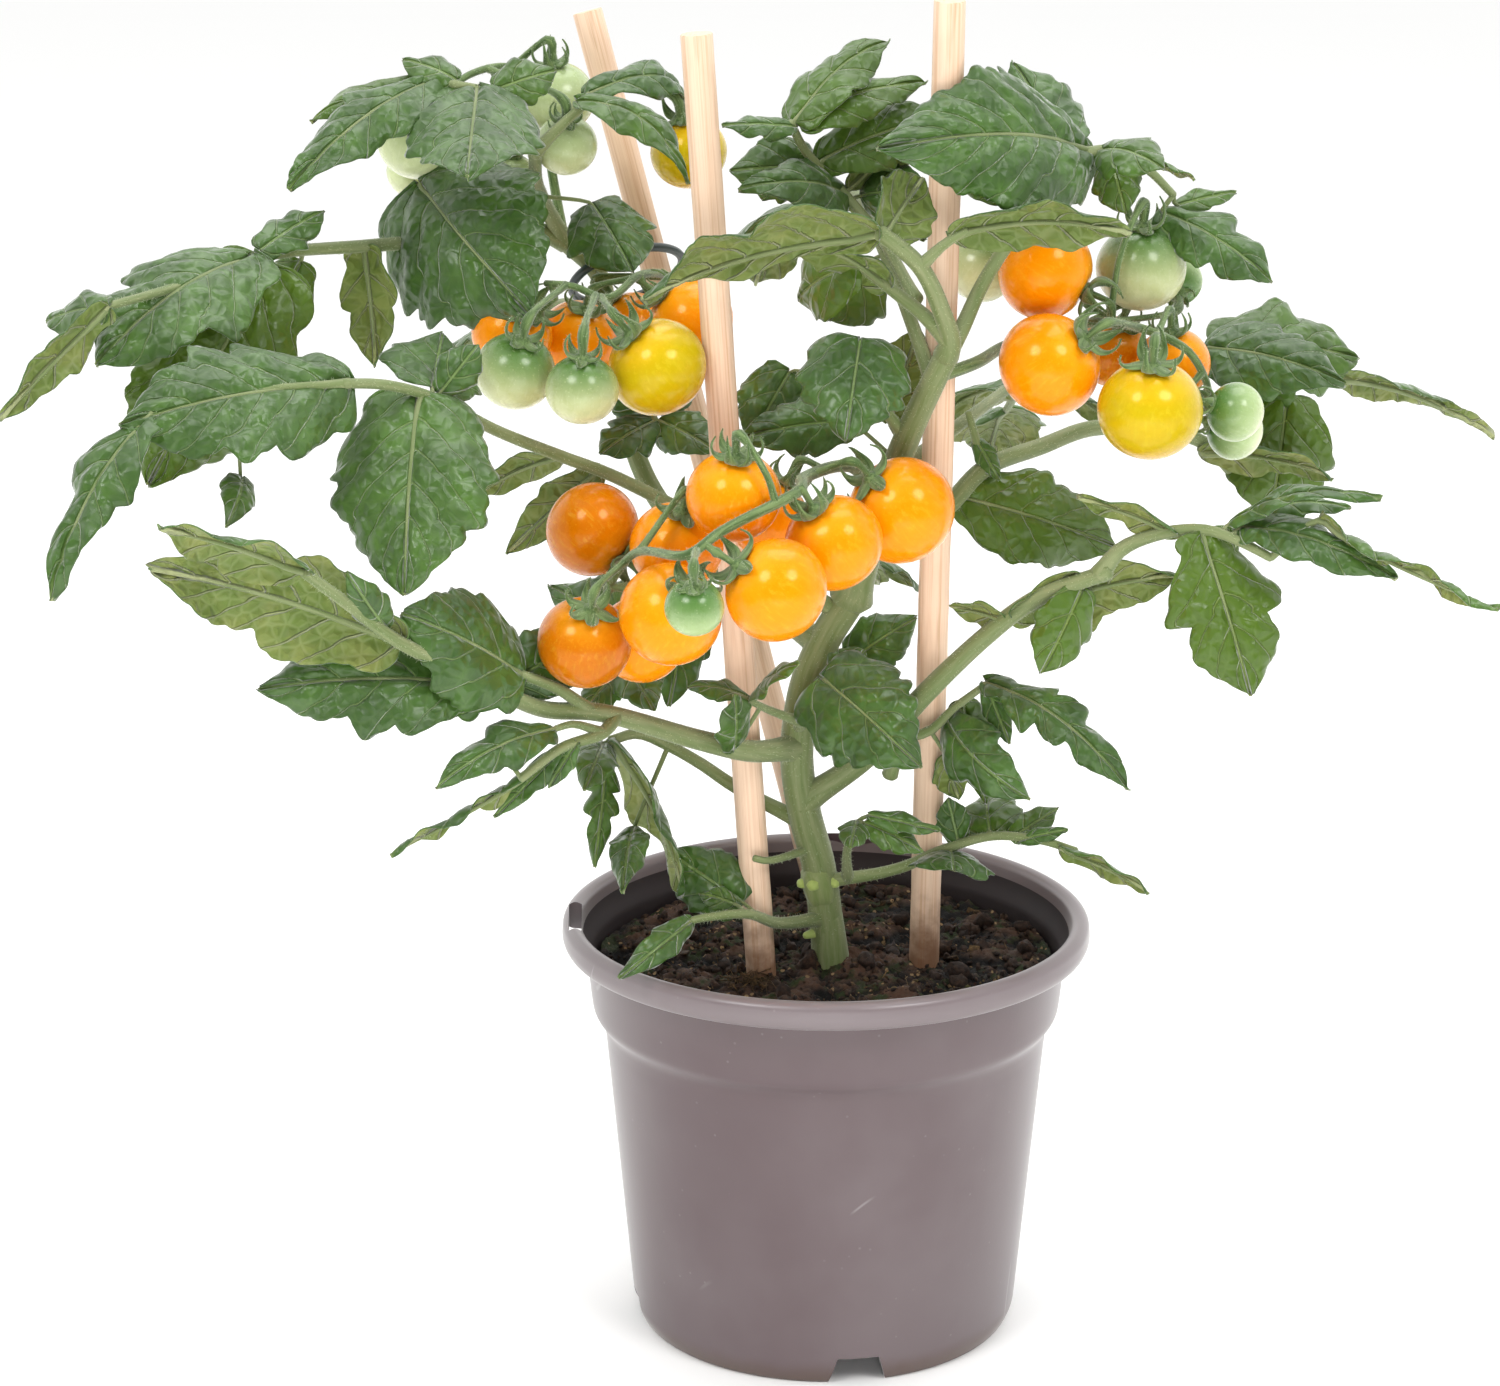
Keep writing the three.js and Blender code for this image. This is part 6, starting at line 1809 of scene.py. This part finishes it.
class TOMATO_OT_make_trusses(bpy.types.Operator):
    """Grows the four fruit trusses with their sepals"""

    bl_idname = "tomato.make_trusses"
    bl_label = "Make Trusses"
    bl_options = {"REGISTER", "UNDO"}

    def execute(self, context):
        plant = context.scene.tomato_plant
        for name, (first, last, route) in TRUSSES.items():
            chance = random.Random(name)
            draws = seeded_draws(len(name))
            shape = new_shape()
            density = plant.hair_density * 1.3
            longest = plant.hair_length / MM
            joint = nearest_on(wood_lines(), route[0])
            near = np.linalg.norm(joint - np.array(route[0], float)) < JOIN_WITHIN
            main = smooth_line([joint, *route[1:]] if near else route, 2)
            radius = np.linspace(first, last, len(main)) * 0.85
            add_tube(shape, main, radius, 12, ridges=0.04)
            hairs = [fuzz(main, radius, density, longest * 0.75, chance)]
            for fruit in FRUITS[name]:
                line, width = self.stalk(main, fruit)
                add_tube(shape, line, width * 0.95, 10, ridges=0.03)
                hairs.append(fuzz(line, width * 0.95, density, longest * 0.7, chance))
                for sepal in self.calyx(shape, fruit, next(draws) * math.pi, chance):
                    hairs.append(fuzz(sepal, 0.4, density, longest * 0.5, chance))
            add_hairs(shape, hairs, TRUSS_HAIR_RADIUS)
            materials = [sepal_material(plant), *leaf_materials(plant)[1:]]
            piece(name + "_grown", shape, materials, "stem", name)
        return {"FINISHED"}

    def stalk(self, main, fruit):
        """From the truss round the fruit's side to its stalk end, with the swollen knuckle on the way"""
        centre, radius, stalk_end = fruit[:3]
        centre = np.array(centre, float)
        out = facing_vector(stalk_end)
        knuckle = centre + out * (radius + KNUCKLE["off_fruit"])
        joint = nearest_on([main], knuckle)
        route = [joint, knuckle, centre + out * radius * 0.86]
        closest = nearest_on([np.array([joint, knuckle])], centre)
        gap = np.linalg.norm(closest - centre)
        if 0 < gap < radius + KNUCKLE["clear_of_fruit"]:
            route.insert(1, centre + (closest - centre) / gap * (radius + KNUCKLE["round_fruit"]))
        line = smooth_line(route, 1.2)
        share = np.linspace(0, 1, len(line))
        bend = share[int(np.argmin(np.linalg.norm(line - knuckle, axis=1)))]
        width = 0.85 + 0.55 * np.exp(-(((share - bend) / 0.09) ** 2))
        return line, width + 0.35 * share**6 + 0.3 * np.exp(-share * 9)

    def calyx(self, shape, fruit, roll, chance):
        """Five or six sepals that leave the fruit like claws and bend their tips inward, one line of each"""
        centre, radius, stalk_end = fruit[:3]
        centre = np.array(centre, float)
        out = facing_vector(stalk_end)
        turn = turned_up_to(out)
        collar = centre + out * (radius * SQUAT - 0.3)
        add_tube(shape, [collar, collar + out * 0.7, collar + out * 1.5], [2.7, 2.3, 1.3], 12)
        size = min(radius / 11.5, 1.1)
        count = 5 + (chance.random() < 0.4)
        for sepal in range(count):
            angle = roll + sepal * 2 * math.pi / count + chance.uniform(-0.2, 0.2)
            ray = turn @ np.array([math.cos(angle), math.sin(angle), 0])
            lift = chance.uniform(0.35, 1.1)
            lean = 1 - min(lift, 1)
            outline = (np.array(CALYX_CLAW) * [1, lift] + np.array(CALYX_FLAT) * lean) * size
            route = centre + out * (radius * SQUAT + outline[:, 1:]) + ray * outline[:, :1]
            line = smooth_line(route, 0.8)
            share = np.linspace(0, 1, len(line))
            across = np.cross(out, ray)
            line = line + np.outer(share**2, across) * chance.uniform(-1.6, 1.6)
            belly = 1.2 + 0.75 * np.sin(math.pi * np.minimum(share * 1.5, 1))
            wide = size * belly * (1 - share**1.6) + 0.08
            thin = 0.2 + 0.42 * size * (1 - share)
            add_tube(shape, line, wide, 10, thin, np.broadcast_to(across, line.shape), ridges=0.05, tone=0.1)
            yield line


class TOMATO_OT_make_fruit(bpy.types.Operator):
    """Makes every tomato"""

    bl_idname = "tomato.make_fruit"
    bl_label = "Make Tomatoes"
    bl_options = {"REGISTER", "UNDO"}

    def execute(self, context):
        settings = context.scene.tomato_fruit
        chance = random.Random(3)
        for truss, fruits in FRUITS.items():
            for i, (centre, radius, stalk_end, ripeness) in enumerate(fruits):
                shape = new_shape()
                verts = bmesh.ops.create_uvsphere(shape, u_segments=56, v_segments=28, radius=1)["verts"]
                ball = np.array([v.co for v in verts])
                body = self.body(ball, chance) * radius
                turn = turned_up_to(facing_vector(stalk_end))
                put(shape, verts, np.array(centre, float) + body @ turn.T, ball)
                node_name = truss.replace("truss", "tomato") + f"_{i + 1}"
                small = ripeness == "green" and radius < SMALL_FRUIT
                material = fruit_material(settings, "young" if small else ripeness)
                piece(node_name + "_fruit", shape, [material], "fruit_" + ripeness, node_name)
        return {"FINISHED"}

    def body(self, ball, chance):
        """A ball brought to a tomato's shape: faint lobes, a dimple at its stalk and a blunt point below"""
        wide = np.hypot(ball[:, 0], ball[:, 1])
        turn = np.arctan2(ball[:, 1], ball[:, 0]) + chance.uniform(0, 6)
        upper = np.maximum(ball[:, 2], 0)
        lobes = 1 - np.cos(FRUIT_LOBES["count"] * turn)
        swell = 1 - FRUIT_LOBES["depth"] * lobes * upper * wide
        dimple = FRUIT_DIMPLE["depth"] * np.exp(-((wide / FRUIT_DIMPLE["width"]) ** 2)) * (ball[:, 2] > 0)
        point = FRUIT_POINT["height"] * np.exp(-((wide / FRUIT_POINT["width"]) ** 2)) * (ball[:, 2] < 0)
        tall = ball[:, 2] * SQUAT - dimple + point
        return np.stack([ball[:, 0] * swell, ball[:, 1] * swell * chance.uniform(0.98, 1), tall], axis=1)


class TOMATO_OT_make_leaves(bpy.types.Operator):
    """Grows every compound leaf on its stalk"""

    bl_idname = "tomato.make_leaves"
    bl_label = "Make Leaves"
    bl_options = {"REGISTER", "UNDO"}

    def execute(self, context):
        plant = context.scene.tomato_plant
        for name, leaf in LEAVES.items():
            shape = new_shape()
            tones = TONES.get(name, {})
            chance = random.Random(name)
            add_leaf(shape, leaf["stalks"], leaf["blades"], tones, plant, chance, wood=wood_lines())
            piece(f"leaf_{name}_grown", shape, leaf_materials(plant), "leaf", "leaf_" + name)
        return {"FINISHED"}


class TOMATO_OT_make_stage(bpy.types.Operator):
    """Lays the floor, hangs the lights and sets the camera"""

    bl_idname = "tomato.make_stage"
    bl_label = "Make Stage"
    bl_options = {"REGISTER", "UNDO"}

    def execute(self, context):
        stage = context.scene.tomato_stage
        self.floor(stage)
        self.room(stage)
        for name, lamp in LAMPS.items():
            self.softbox(name, *lamp, stage.key_power)
        self.camera(stage)
        context.scene.view_settings.view_transform = "Standard"
        return {"FINISHED"}

    def floor(self, stage):
        shape = bmesh.new()
        bmesh.ops.create_grid(shape, x_segments=1, y_segments=1, size=4)
        mesh = bpy.data.meshes.new("floor")
        shape.to_mesh(mesh)
        shape.free()
        pale, _, shader = new_material("floor_paint")
        shader.inputs["Base Color"].default_value = (*stage.floor_colour, 1)
        shader.inputs["Roughness"].default_value = 0.9
        shader.inputs["Specular IOR Level"].default_value = 0.1
        mesh.materials.append(pale)
        floor = bpy.data.objects.new("floor", mesh)
        bpy.context.scene.collection.objects.link(floor)
        floor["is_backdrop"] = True

    def room(self, stage):
        """A white room that is brighter at the back than at the front"""
        world = bpy.context.scene.world or bpy.data.worlds.new("room")
        bpy.context.scene.world = world
        world.use_nodes = True
        tree = world.node_tree
        background = tree.nodes["Background"]
        background.inputs["Color"].default_value = (1, 1, 1, 1)
        heading = tree.nodes.new("ShaderNodeTexCoord").outputs["Generated"]
        way = axis_of(tree, heading, "Y")
        bright = ramp(tree, way, -0.9, 0.45, 0.28 * stage.surround, 1.38 * stage.surround)
        seen = tree.nodes.new("ShaderNodeLightPath").outputs["Is Camera Ray"]
        feed(tree, background.inputs["Strength"], maths(tree, "MAXIMUM", bright, seen))

    def softbox(self, name, place, target, size, share, key_power):
        """A round lamp that faces its target"""
        light = bpy.data.lights.new(name, "AREA")
        light.energy = key_power * share
        light.shape = "DISK"
        light.size = size
        lamp = bpy.data.objects.new(name, light)
        self.aim(lamp, place, target)
        lamp.visible_glossy = name != UNMIRRORED_LAMP

    def camera(self, stage):
        camera = bpy.data.cameras.new("camera")
        camera.lens = stage.focal_length
        camera.sensor_width = SENSOR_WIDTH
        viewer = bpy.data.objects.new("camera", camera)
        self.aim(viewer, CAMERA_PLACE, CAMERA_TARGET)
        bpy.context.scene.camera = viewer

    def aim(self, thing, place, target):
        """Places a lamp or the camera in the scene and turns it to its target"""
        thing.location = place
        thing.rotation_euler = (Vector(target) - Vector(place)).to_track_quat("-Z", "Y").to_euler()
        bpy.context.scene.collection.objects.link(thing)


STEPS = [
    TOMATO_OT_make_stage,
    TOMATO_OT_make_pot,
    TOMATO_OT_make_soil,
    TOMATO_OT_make_stakes,
    TOMATO_OT_make_clip,
    TOMATO_OT_make_stem,
    TOMATO_OT_make_trusses,
    TOMATO_OT_make_fruit,
    TOMATO_OT_make_leaves,
]
SETTINGS = {
    "tomato_pot": TomatoPotSettings,
    "tomato_plant": TomatoPlantSettings,
    "tomato_fruit": TomatoFruitSettings,
    "tomato_stage": TomatoStageSettings,
}


class TOMATO_PT_plant(bpy.types.Panel):
    """Lists the steps and what may be changed before they run"""

    bl_idname = "TOMATO_PT_plant"
    bl_label = "Potted Tomato Plant"
    bl_space_type = "VIEW_3D"
    bl_region_type = "UI"
    bl_category = "Tomato"

    def draw(self, context):
        for step in STEPS:
            self.layout.operator(step.bl_idname)
        for name, kind in SETTINGS.items():
            box = self.layout.box()
            box.label(text=kind.__doc__)
            for label in kind.__annotations__:
                box.prop(getattr(context.scene, name), label)


def register():
    for kind in [*SETTINGS.values(), *STEPS, TOMATO_PT_plant]:
        bpy.utils.register_class(kind)
    for name, kind in SETTINGS.items():
        setattr(bpy.types.Scene, name, PointerProperty(type=kind))


def unregister():
    for name in SETTINGS:
        delattr(bpy.types.Scene, name)
    for kind in reversed([*SETTINGS.values(), *STEPS, TOMATO_PT_plant]):
        bpy.utils.unregister_class(kind)


def main():
    register()
    bpy.ops.tomato.make_stage()
    bpy.ops.tomato.make_pot()
    bpy.ops.tomato.make_soil()
    bpy.ops.tomato.make_stakes()
    bpy.ops.tomato.make_clip()
    bpy.ops.tomato.make_stem()
    bpy.ops.tomato.make_trusses()
    bpy.ops.tomato.make_fruit()
    bpy.ops.tomato.make_leaves()
    boxes = {"model": MODEL_BOX, "visual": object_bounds()}
    lists = {name: [list(corner) for corner in box] for name, box in boxes.items()}


if __name__ == "__main__":
    main()
